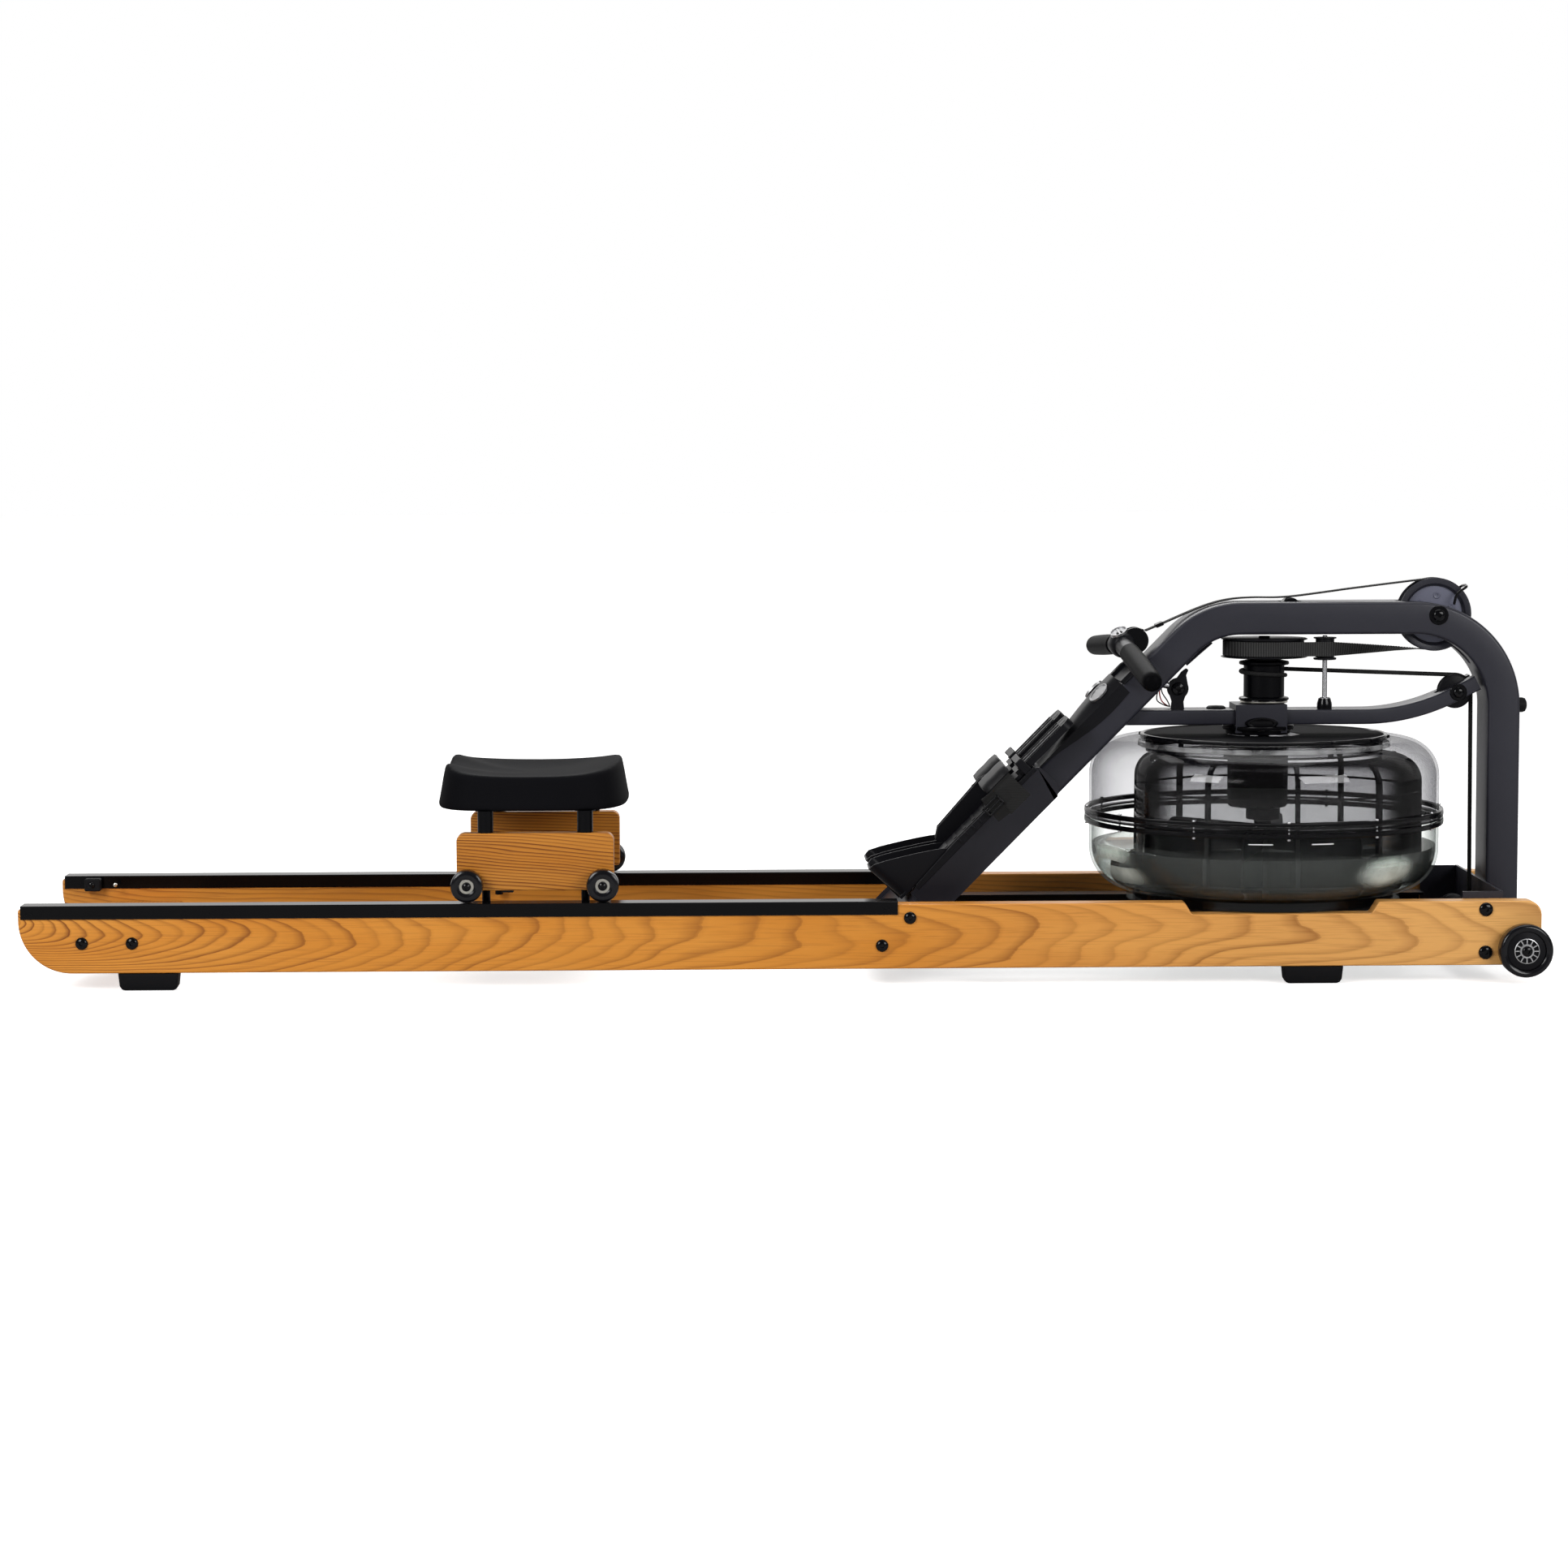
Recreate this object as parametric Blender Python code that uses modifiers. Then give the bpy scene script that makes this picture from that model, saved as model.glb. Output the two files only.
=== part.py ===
"""Water rowing machine: wooden rails, steel arch, water tank, belt drive, sliding seat.

Lengths are metres. X runs along the machine from the rear end of the rails, Y across it, Z up.
The last step moves everything so that X = 0 is the middle of the overall length.
"""

import math

import bmesh
import bpy
from mathutils import Matrix, Vector

# Overall
LENGTH = 2.09
GAP = 0.0003
WRAP_GAP = 0.0008

# Wooden rails
RAIL_LENGTH = 2.079
RAIL_INNER_Y = 0.1615
RAIL_OUTER_Y = 0.1925
RAIL_BOTTOM = 0.024
RAIL_TOP = 0.1126
RAIL_HEEL_RADIUS = 0.072
RAIL_TOE_RADIUS = 0.020
NOTCH_HALF_TOP = 0.133
NOTCH_HALF_FLOOR = 0.123
NOTCH_FLOOR = 0.0965

# Steel running track on each rail
TRACK_START = 0.004
TRACK_END = 1.197
TRACK_TOP = 0.1169
TRACK_SKIRT = 0.0987
TRACK_WALL = 0.0019

# Sloping leg of the arch: a frame with S up along it and N square to its upper face
SLOPE = math.radians(45.4)
FOOT_X = 1.2199
FOOT_Z = 0.1000

# Bent main tube
TUBE_HEIGHT = 0.045
TUBE_HALF_WIDTH = 0.0425
TUBE_WALL = 0.0025
LEG_START_S = 0.0125
TOP_BAR_Z = 0.4925
UPRIGHT_X = 2.0543
UPRIGHT_BOTTOM = 0.062
LEG_BEND_RADIUS = 0.11
HEAD_BEND_RADIUS = 0.125

# Water tank
TANK_X = 1.7225
TANK_RADIUS = 0.2454
TANK_WALL = 0.004
FLANGE_RADIUS = 0.252
FLANGE_TOP = 0.2225
FLANGE_BOTTOM = 0.2080
TANK_TOP = 0.3275
TANK_FOOT = 0.0972

# Belly bar under the drive
BELLY_Z = 0.3535
BELLY_HEIGHT = 0.021
BELLY_HALF_WIDTH = 0.030

# Drive
SHAFT_RADIUS = 0.008
HUB_BELT_RADIUS = 0.0556
BELT_HALF_WIDTH = 0.0100
BELT_THICKNESS = 0.0018
BELT_Z = 0.4500
MAIN_PULLEY_X = 1.9607
MAIN_PULLEY_Z = 0.4961
MAIN_PULLEY_RADIUS = 0.0514
MAIN_GROOVE_RADIUS = 0.0474
GUIDE_X = 1.758
GUIDE_Z = 0.5075
GUIDE_RADIUS = 0.013
CORD_RADIUS = 0.003
SPOOL_RADIUS = 0.0285
CORD_Z = 0.4085
BUNGEE_PULLEY_X = 1.9918
BUNGEE_PULLEY_Z = 0.3872
BUNGEE_PULLEY_RADIUS = 0.024
BUNGEE_GROOVE_RADIUS = 0.0192
LOWER_PULLEY_X = 1.9935
LOWER_PULLEY_Z = 0.0750
TENSIONER_X = 1.8053
TENSIONER_Y = -0.0185

# Seat
SEAT_X = 0.7020
SEAT_HALF_LENGTH = 0.1315
SEAT_HALF_WIDTH = 0.1580
SEAT_BASE = 0.2405
PAD_BASE = 0.2408
PAD_OFFSET_X = -0.0065
BLOCK_BOTTOM = 0.1310
BLOCK_TOP = 0.2105
BLOCK_HALF_LENGTH = 0.1076
BLOCK_INNER_Y = 0.1370
BLOCK_OUTER_Y = 0.1620
ROLLER_RADIUS = 0.0222
ROLLER_Z = 0.1394
ROLLER_REACH = 0.0927
POST_REACH = 0.0681

# Handle, lying on its rest
HANDLE_X = 1.5230
HANDLE_Z = 0.4560
GRIP_START = 0.060
GRIP_END = 0.2500
GRIP_RADIUS = 0.0142
GRIP_DROOP = math.radians(6.4)

# Transport wheels
WHEEL_RADIUS = 0.0366
WHEEL_Z = 0.0465
WHEEL_Y = 0.2100
WHEEL_X = LENGTH - WHEEL_RADIUS


def clear_scene():
    for obj in list(bpy.data.objects):
        bpy.data.objects.remove(obj)


def new_collection(name):
    found = bpy.data.collections.new(name)
    bpy.context.scene.collection.children.link(found)
    return found


def material(name, colour, roughness, metallic=0.0, transmission=0.0):
    found = bpy.data.materials.new(name)
    found.use_nodes = True
    shader = found.node_tree.nodes["Principled BSDF"]
    shader.inputs["Base Color"].default_value = (*colour, 1.0)
    shader.inputs["Roughness"].default_value = roughness
    shader.inputs["Metallic"].default_value = metallic
    shader.inputs["Transmission Weight"].default_value = transmission
    found.diffuse_color = (*colour, 1.0)
    return found


clear_scene()
PARTS = new_collection("rowing_machine")
CUTTERS = new_collection("cutters")
CUTTERS.hide_render = True

LOOKS = {
    "wood": ((0.55, 0.28, 0.09), 0.45, 0.0, 0.0),
    "steel": ((0.02, 0.02, 0.025), 0.40, 0.0, 0.0),
    "plastic": ((0.015, 0.015, 0.017), 0.45, 0.0, 0.0),
    "rubber": ((0.01, 0.01, 0.01), 0.75, 0.0, 0.0),
    "webbing": ((0.02, 0.02, 0.02), 0.90, 0.0, 0.0),
    "chrome": ((0.60, 0.60, 0.62), 0.25, 1.0, 0.0),
    "clear": ((0.80, 0.84, 0.84), 0.05, 0.0, 0.8),
    "smoke": ((0.05, 0.05, 0.05), 0.15, 0.0, 0.2),
    "pulley": ((0.10, 0.11, 0.14), 0.45, 0.0, 0.0),
}


def finish(name, bm, look, at=(0.0, 0.0, 0.0), turn=(0.0, 0.0, 0.0)):
    """An object from this mesh. A look of None makes a hidden cutter or filler."""
    bmesh.ops.recalc_face_normals(bm, faces=bm.faces)
    mesh = bpy.data.meshes.new(name)
    bm.to_mesh(mesh)
    bm.free()
    obj = bpy.data.objects.new(name, mesh)
    obj.location = at
    obj.rotation_euler = turn
    if look is None:
        CUTTERS.objects.link(obj)
        obj.hide_render = True
        obj.display_type = "WIRE"
    else:
        PARTS.objects.link(obj)
        mesh.materials.append(material(name, *LOOKS[look]))
    return obj


def boolean(obj, other, operation):
    modifier = obj.modifiers.new(other.name, "BOOLEAN")
    modifier.object = other
    modifier.operation = operation
    modifier.solver = "EXACT"


def cut(obj, *others):
    for other in others:
        boolean(obj, other, "DIFFERENCE")


def join(obj, *others):
    for other in others:
        boolean(obj, other, "UNION")


def bevel(obj, width, segments=2, angle=35.0):
    modifier = obj.modifiers.new("edges", "BEVEL")
    modifier.width = width
    modifier.segments = segments
    modifier.limit_method = "ANGLE"
    modifier.angle_limit = math.radians(angle)


def box(x0, x1, y0, y1, z0, z1):
    bm = bmesh.new()
    size = Matrix.Diagonal((x1 - x0, y1 - y0, z1 - z0, 1.0))
    middle = Matrix.Translation(((x0 + x1) / 2, (y0 + y1) / 2, (z0 + z1) / 2))
    bmesh.ops.create_cube(bm, size=1.0, matrix=middle @ size)
    return bm


def prism(outline, low, high, axis="Y"):
    """The outline pushed out from low to high: (x, z) points along Y, or (x, y) points along Z."""
    bm = bmesh.new()
    ends = []
    for level in (low, high):
        ring = []
        for a, b in outline:
            ring.append(bm.verts.new((a, level, b) if axis == "Y" else (a, b, level)))
        ends.append(ring)
    bm.faces.new(ends[0])
    bm.faces.new(reversed(ends[1]))
    count = len(outline)
    for i in range(count):
        j = (i + 1) % count
        bm.faces.new((ends[0][i], ends[0][j], ends[1][j], ends[1][i]))
    return bm


def turned(profile, axis="Z", segments=32):
    """A solid of revolution from closed (radius, along) points. Radius 0 makes a pole."""
    bm = bmesh.new()
    rings = []
    for radius, along in profile:
        count = segments if radius > 0 else 1
        ring = []
        for i in range(count):
            angle = 2 * math.pi * i / segments
            a, b = radius * math.cos(angle), radius * math.sin(angle)
            ring.append(bm.verts.new((a, b, along) if axis == "Z" else (a, along, b)))
        rings.append(ring)
    closed = profile[0][0] > 0 and profile[-1][0] > 0
    pairs = list(zip(rings, rings[1:])) + ([(rings[-1], rings[0])] if closed else [])
    for first, second in pairs:
        for i in range(segments):
            j = (i + 1) % segments
            if len(first) == 1 and len(second) == 1:
                continue
            if len(first) == 1:
                bm.faces.new((first[0], second[i], second[j]))
            elif len(second) == 1:
                bm.faces.new((first[i], first[j], second[0]))
            else:
                bm.faces.new((first[i], first[j], second[j], second[i]))
    return bm


def rod(radius, low, high, axis="Z", segments=16):
    return turned([(0, low), (radius, low), (radius, high), (0, high)], axis, segments)


def tube_ring(outer, inner, low, high, axis="Z", segments=32):
    return turned([(outer, low), (outer, high), (inner, high), (inner, low)], axis, segments)


def arc(cx, cz, radius, start, end, steps):
    """Points on an arc, angles in degrees."""
    points = []
    for i in range(steps + 1):
        angle = math.radians(start + (end - start) * i / steps)
        points.append((cx + radius * math.cos(angle), cz + radius * math.sin(angle)))
    return points


def loft(rings):
    """Skin over rings of equally many points, with both ends capped."""
    bm = bmesh.new()
    made = [[bm.verts.new(point) for point in ring] for ring in rings]
    count = len(rings[0])
    bm.faces.new(made[0])
    bm.faces.new(reversed(made[-1]))
    for first, second in zip(made, made[1:]):
        for i in range(count):
            j = (i + 1) % count
            bm.faces.new((first[i], first[j], second[j], second[i]))
    return bm


def ribbon(path, widths, half_width, thickness):
    """A flat belt along a path of points. widths gives the direction across the belt at each point."""
    rings = []
    for i, point in enumerate(path):
        before, after = path[max(i - 1, 0)], path[min(i + 1, len(path) - 1)]
        along = (after - before).normalized()
        across = (widths[i] - along * widths[i].dot(along)).normalized()
        up = along.cross(across)
        ring = []
        for a, b in ((-1, -1), (1, -1), (1, 1), (-1, 1)):
            ring.append(point + across * a * half_width + up * b * thickness / 2)
        rings.append(ring)
    return loft(rings)


def cord(path, radius, sides=8):
    rings = []
    for i, point in enumerate(path):
        before, after = path[max(i - 1, 0)], path[min(i + 1, len(path) - 1)]
        along = (after - before).normalized()
        across = along.cross(Vector((0, 1, 0.001))).normalized()
        up = along.cross(across)
        ring = []
        for k in range(sides):
            angle = 2 * math.pi * k / sides
            ring.append(point + radius * (across * math.cos(angle) + up * math.sin(angle)))
        rings.append(ring)
    return loft(rings)


def on_slope(name, bm, look):
    """An object drawn in the leg's own frame: X up along the leg, Z square to its upper face."""
    return finish(name, bm, look, at=(FOOT_X, 0, FOOT_Z), turn=(0, -SLOPE, 0))


def slope_point(s, n):
    x = FOOT_X + s * math.cos(SLOPE) - n * math.sin(SLOPE)
    return x, FOOT_Z + s * math.sin(SLOPE) + n * math.cos(SLOPE)


SIDES = (("near", -1), ("far", 1))


def span(side, a, b):
    """The range from a to b on this side, low end first."""
    return (side * b, side * a) if side < 0 else (a, b)


# Rails ------------------------------------------------------------------------------------------


def rail_outline():
    heel = RAIL_HEEL_RADIUS
    toe = RAIL_TOE_RADIUS
    outline = arc(heel, RAIL_BOTTOM + heel, heel, 182, 270, 10)
    outline += arc(RAIL_LENGTH - 0.006, RAIL_BOTTOM + 0.006, 0.006, 270, 360, 3)
    outline += arc(RAIL_LENGTH - toe, RAIL_TOP - toe, toe, 0, 90, 5)
    outline += [
        (TANK_X + NOTCH_HALF_TOP, RAIL_TOP),
        (TANK_X + NOTCH_HALF_FLOOR, NOTCH_FLOOR),
        (TANK_X - NOTCH_HALF_FLOOR, NOTCH_FLOOR),
        (TANK_X - NOTCH_HALF_TOP, RAIL_TOP),
    ]
    outline += arc(0.004, RAIL_TOP - 0.004, 0.004, 90, 180, 3)
    return outline


def track_section(side):
    top = TRACK_TOP
    under = RAIL_TOP + GAP
    inner = RAIL_INNER_Y - GAP
    outer = RAIL_OUTER_Y + GAP
    section = [
        (inner - TRACK_WALL, TRACK_SKIRT),
        (inner, TRACK_SKIRT),
        (inner, under),
        (outer, under),
        (outer, TRACK_SKIRT),
        (outer + TRACK_WALL, TRACK_SKIRT),
        (outer + TRACK_WALL, top - 0.001),
        (outer + TRACK_WALL - 0.001, top),
        (inner - TRACK_WALL + 0.001, top),
        (inner - TRACK_WALL, top - 0.001),
    ]
    rings = []
    for x in (TRACK_START, TRACK_END):
        rings.append([(x, side * y, z) for y, z in section])
    return loft(rings)


def angle_bar(side):
    """Steel angle against the inner face of a rail, from the leg to the front channel."""
    top, bottom, flange_width, thickness = 0.0863, 0.0500, 0.0380, 0.004
    start, end = 1.285, 1.974
    inner = RAIL_INNER_Y - GAP
    web = box(start, end, *span(side[1], inner - thickness, inner), bottom, top)
    bar = finish(f"{side[0]}_base_bar", web, "steel")
    flange = box(start, end, *span(side[1], inner - flange_width, inner - 0.002), top - thickness, top)
    join(bar, finish(f"{side[0]}_base_flange", flange, None))
    return bar


for side in SIDES:
    label, sign = side
    rail = finish(f"{label}_rail", prism(rail_outline(), *span(sign, RAIL_INNER_Y, RAIL_OUTER_Y)), "wood")
    hole = rod(0.0054, *span(sign, RAIL_INNER_Y - 0.01, RAIL_OUTER_Y + 0.01), axis="Y")
    cut(rail, finish(f"{label}_axle_hole", hole, None, at=(WHEEL_X, 0, WHEEL_Z)))
    finish(f"{label}_track", track_section(sign), "steel")
    angle_bar(side)
    stop = box(0.035, 0.058, *span(sign, 0.1415, 0.1590), 0.0965, 0.1145)
    bevel(finish(f"{label}_end_stop", stop, "rubber"), 0.0015, 1)
    for end, x in (("rear", 0.1753), ("front", 1.7664)):
        middle = sign * (RAIL_INNER_Y + RAIL_OUTER_Y) / 2
        rings = []
        for z, half_x, half_y in ((0.0, 0.0370, 0.0125), (0.004, 0.0395, 0.0145), (RAIL_BOTTOM - GAP, 0.0412, 0.0153)):
            corners = ((-1, -1), (1, -1), (1, 1), (-1, 1))
            rings.append([(x + a * half_x, middle + b * half_y, z) for a, b in corners])
        finish(f"{label}_{end}_foot", loft(rings), "rubber")

bevel(
    finish(
        "rear_crossbeam",
        box(0.065, 0.175, GAP - RAIL_INNER_Y, RAIL_INNER_Y - GAP, 0.050, 0.080),
        "wood",
    ),
    0.003,
    1,
)

# Transport wheels ---------------------------------------------------------------------------------

for label, sign in SIDES:
    r = WHEEL_RADIUS
    profile = [
        (0.0056, -0.0115),
        (0.0105, -0.0115),
        (0.0105, -0.0075),
        (r - 0.0095, -0.0075),
        (r - 0.0070, -0.0115),
        (r, -0.0070),
        (r, 0.0070),
        (r - 0.0070, 0.0115),
        (r - 0.0095, 0.0075),
        (0.0105, 0.0075),
        (0.0105, 0.0115),
        (0.0056, 0.0115),
    ]
    finish(
        f"{label}_transport_wheel",
        turned(profile, "Y", 20),
        "rubber",
        at=(WHEEL_X, sign * WHEEL_Y, WHEEL_Z),
    )

head = WHEEL_Y + 0.0118
axle = [
    (0, -head - 0.004),
    (0.0085, -head - 0.003),
    (0.0085, -head),
    (0.005, -head),
    (0.005, head),
    (0.0085, head),
    (0.0085, head + 0.003),
    (0, head + 0.004),
]
finish("wheel_axle", turned(axle, "Y", 16), "chrome", at=(WHEEL_X, 0, WHEEL_Z))

# Main tube ----------------------------------------------------------------------------------------


def arch_path():
    """Centre line of the bent tube in X and Z, with the direction at each point."""
    half = TUBE_HEIGHT / 2
    points = [(slope_point(LEG_START_S, -half), math.degrees(SLOPE))]
    corner_s = (TOP_BAR_Z - slope_point(0, -half)[1]) / math.sin(SLOPE)
    corner = slope_point(corner_s, -half)
    reach = LEG_BEND_RADIUS * math.tan(SLOPE / 2)
    centre = (corner[0] + reach, TOP_BAR_Z - LEG_BEND_RADIUS)
    for i in range(7):
        heading = math.degrees(SLOPE) * (1 - i / 6)
        angle = math.radians(heading + 90)
        x = centre[0] + LEG_BEND_RADIUS * math.cos(angle)
        z = centre[1] + LEG_BEND_RADIUS * math.sin(angle)
        points.append(((x, z), heading))
    centre = (UPRIGHT_X - HEAD_BEND_RADIUS, TOP_BAR_Z - HEAD_BEND_RADIUS)
    for i in range(10):
        heading = -10.0 * i
        angle = math.radians(heading + 90)
        x = centre[0] + HEAD_BEND_RADIUS * math.cos(angle)
        z = centre[1] + HEAD_BEND_RADIUS * math.sin(angle)
        points.append(((x, z), heading))
    points.append(((UPRIGHT_X, UPRIGHT_BOTTOM), -90.0))
    return points


def sweep_section(points, section):
    rings = []
    for (x, z), heading in points:
        angle = math.radians(heading + 90)
        up = (math.cos(angle), math.sin(angle))
        rings.append([(x + n * up[0], y, z + n * up[1]) for y, n in section])
    return rings


def rounded_section(half_y, half_n, corner):
    section = []
    for cy, cn, start in ((1, 1, 0), (-1, 1, 90), (-1, -1, 180), (1, -1, 270)):
        middle_y, middle_n = cy * (half_y - corner), cn * (half_n - corner)
        section += arc(middle_y, middle_n, corner, start, start + 90, 1)
    return section


def tube_mesh(points, outer, inner):
    """A hollow tube, open at both ends."""
    bm = bmesh.new()
    skins = []
    for section in (outer, inner):
        skins.append([[bm.verts.new(p) for p in ring] for ring in sweep_section(points, section)])
    count = len(outer)
    for skin in skins:
        for first, second in zip(skin, skin[1:]):
            for i in range(count):
                j = (i + 1) % count
                bm.faces.new((first[i], first[j], second[j], second[i]))
    for end in (0, -1):
        for i in range(count):
            j = (i + 1) % count
            bm.faces.new((skins[0][end][i], skins[0][end][j], skins[1][end][j], skins[1][end][i]))
    return bm


outer_section = rounded_section(TUBE_HALF_WIDTH, TUBE_HEIGHT / 2, 0.005)
inner_section = rounded_section(TUBE_HALF_WIDTH - TUBE_WALL, TUBE_HEIGHT / 2 - TUBE_WALL, 0.003)
main_frame = finish("main_frame", tube_mesh(arch_path(), outer_section, inner_section), "steel")
slot_half = 0.0145
slot_reach = MAIN_PULLEY_RADIUS + 0.004
cut(
    main_frame,
    finish(
        "pulley_slot",
        box(-slot_reach, slot_reach, -slot_half, slot_half, -0.07, 0.05),
        None,
        at=(MAIN_PULLEY_X, 0, MAIN_PULLEY_Z),
    ),
    finish(
        "guide_slot",
        box(-0.017, 0.017, -0.0145, 0.0145, -0.004, 0.02),
        None,
        at=(GUIDE_X, 0, GUIDE_Z),
    ),
    finish(
        "main_axle_hole",
        rod(0.0064, -0.06, 0.06, "Y", 16),
        None,
        at=(MAIN_PULLEY_X, 0, MAIN_PULLEY_Z),
    ),
)

# Foot end: footrest carrier bolted between the rails ----------------------------------------------

cheek = TUBE_HALF_WIDTH + GAP
side_plate = [(-0.080, -0.046), (0.250, -0.046)]
side_plate += arc(0.250, -0.034, 0.012, -90, 0, 4)[1:]
side_plate += [(0.262, -0.008), (0.250, 0.0063), (-0.080, 0.0063)]
carrier = on_slope("footrest_carrier", prism(side_plate, -cheek - 0.005, -cheek), "steel")
join(
    carrier,
    on_slope("carrier_far_cheek", prism(side_plate, cheek, cheek + 0.005), None),
    on_slope("carrier_top", box(LEG_START_S, 0.250, -cheek - 0.003, cheek + 0.003, GAP, 0.0063), None),
    on_slope("carrier_cross", box(-0.079, 0.0095, -0.158, 0.158, -0.014, 0.0062), None),
)
for label, sign in SIDES:
    ear = box(-0.084, 0.002, *span(sign, 0.157, RAIL_INNER_Y - GAP), -0.020, 0.012)
    join(carrier, on_slope(f"carrier_{label}_ear", ear, None))

# Front end: channel across the rails that carries the upright -------------------------------------

back_x = UPRIGHT_X - TUBE_HEIGHT / 2 - GAP
crossmember = finish(
    "front_crossmember",
    box(back_x - 0.004, back_x, GAP - RAIL_INNER_Y, RAIL_INNER_Y - GAP, 0.030, 0.122),
    "steel",
)
join(
    crossmember,
    finish("crossmember_floor", box(1.976, back_x - 0.002, -0.158, 0.158, 0.030, 0.034), None),
)
for label, sign in SIDES:
    plate = box(1.976, back_x - 0.002, *span(sign, 0.1572, RAIL_INNER_Y - GAP), 0.0302, 0.1218)
    join(crossmember, finish(f"crossmember_{label}_plate", plate, None))
    lug = box(LOWER_PULLEY_X - 0.012, back_x - 0.002, *span(sign, 0.0110, 0.0140), 0.032, 0.092)
    join(crossmember, finish(f"crossmember_{label}_lug", lug, None))
pin = rod(0.004, -0.012, 0.012, "Y", 12)
join(crossmember, finish("lower_pulley_pin", pin, None, at=(LOWER_PULLEY_X, 0, LOWER_PULLEY_Z)))

# Belly bar ----------------------------------------------------------------------------------------


def belly_path():
    points = [((1.5331, BELLY_Z), 0.0), ((1.860, BELLY_Z), 0.0)]
    radius = 0.28
    for i in range(1, 7):
        turn = math.radians(4.5 * i)
        x = 1.860 + radius * math.sin(turn)
        points.append(((x, BELLY_Z + radius * (1 - math.cos(turn))), 4.5 * i))
    (x, z), heading = points[-1]
    run = 0.036
    end = (x + run * math.cos(math.radians(heading)), z + run * math.sin(math.radians(heading)))
    points.append((end, heading))
    return points


belly_rings = sweep_section(
    belly_path(), rounded_section(BELLY_HALF_WIDTH, BELLY_HEIGHT / 2, 0.003)
)
lean = 1 / math.tan(SLOPE)
belly_rings[0] = [(x + 0.0006 + (z - BELLY_Z) * lean, y, z) for x, y, z in belly_rings[0]]
belly_bar = finish("belly_bar", loft(belly_rings), "steel")
cut(
    belly_bar,
    finish("belly_shaft_hole", rod(0.0100, 0.30, 0.42, "Z", 20), None, at=(TANK_X, 0, 0)),
    finish(
        "belly_pulley_slot",
        box(-0.028, 0.06, -0.0085, 0.0085, -0.05, 0.06),
        None,
        at=(BUNGEE_PULLEY_X, 0, BUNGEE_PULLEY_Z),
    ),
    finish(
        "belly_axle_hole",
        rod(0.0044, -0.05, 0.05, "Y", 12),
        None,
        at=(BUNGEE_PULLEY_X, 0, BUNGEE_PULLEY_Z),
    ),
)

# Handle rest and badge cover on the leg -----------------------------------------------------------

rest = on_slope("handle_rest", box(0.425, 0.465, -0.078, 0.078, GAP, 0.0033), "plastic")
for label, sign in SIDES:
    hook = [(0.425, 0.0010), (0.458, 0.0010), (0.458, 0.0060), (0.446, 0.0085), (0.425, 0.0085)]
    join(rest, on_slope(f"rest_{label}_hook", prism(hook, *span(sign, 0.060, 0.0775)), None))

cover_rings = []
for s, height, half_top in (
    (0.345, 0.003, 0.018),
    (0.356, 0.012, 0.022),
    (0.372, 0.0165, 0.024),
    (0.419, 0.0165, 0.024),
    (0.423, 0.0150, 0.023),
):
    cover_rings.append(
        [
            (s, -0.0415, GAP),
            (s, 0.0415, GAP),
            (s, 0.0415, GAP + 0.002),
            (s, half_top, height),
            (s, -half_top, height),
            (s, -0.0415, GAP + 0.002),
        ]
    )
on_slope("leg_cover", loft(cover_rings), "plastic")

# Footrests ----------------------------------------------------------------------------------------


def footrest(label, sign):
    base = box(0.022, 0.256, *span(sign, 0.0062, 0.1000), 0.0068, 0.0135)
    base = on_slope(f"{label}_footrest", base, "plastic")
    wall = [(0.085, 0.010), (0.205, 0.010), (0.205, 0.040), (0.190, 0.0455), (0.100, 0.0400), (0.085, 0.030)]
    lip = [(0.024, 0.010), (0.180, 0.010), (0.180, 0.0185), (0.100, 0.0185), (0.024, 0.0150)]
    pieces = [
        ("wall", prism(wall, *span(sign, 0.0063, 0.0103))),
        ("lip", prism(lip, *span(sign, 0.0955, 0.0999))),
        ("inner_leg", box(0.240, 0.252, *span(sign, 0.0150, 0.0190), 0.010, 0.0345)),
        ("outer_leg", box(0.240, 0.252, *span(sign, 0.0935, 0.0975), 0.010, 0.0345)),
        ("bridge", box(0.241, 0.251, *span(sign, 0.0160, 0.0965), 0.0290, 0.0350)),
    ]
    for name, bm in pieces:
        join(base, on_slope(f"{label}_footrest_{name}", bm, None))


def heel_slider(label, sign):
    plate = box(-0.004, 0.330, *span(sign, 0.0220, 0.0910), 0.0140, 0.0200)
    tongue = [(0.232, 0.0145), (0.336, 0.0145), (0.342, 0.0200), (0.338, 0.0262), (0.232, 0.0262)]
    cheek_wall = [(-0.008, 0.0140), (0.090, 0.0140), (0.086, 0.0185), (0.006, 0.0780), (-0.008, 0.0780)]
    slider = on_slope(f"{label}_heel_slider", plate, "plastic")
    pieces = [
        ("tongue", prism(tongue, *span(sign, 0.0240, 0.0890))),
        ("floor", box(-0.006, 0.018, *span(sign, 0.0140, 0.0950), 0.0142, 0.0200)),
        ("heel", box(-0.0078, -0.0035, *span(sign, 0.0142, 0.0948), 0.0142, 0.0700)),
        ("inner_cheek", prism(cheek_wall, *span(sign, 0.0135, 0.0172))),
        ("outer_cheek", prism(cheek_wall, *span(sign, 0.0915, 0.0952))),
    ]
    for name, bm in pieces:
        join(slider, on_slope(f"{label}_slider_{name}", bm, None))
    for row, y in enumerate((0.040, 0.073)):
        for step in range(5):
            s = 0.262 + 0.0165 * step
            slot = box(s, s + 0.0095, *span(sign, y - 0.0035, y + 0.0035), 0.005, 0.035)
            cut(slider, on_slope(f"{label}_slot_{row}_{step}", slot, None))


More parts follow.
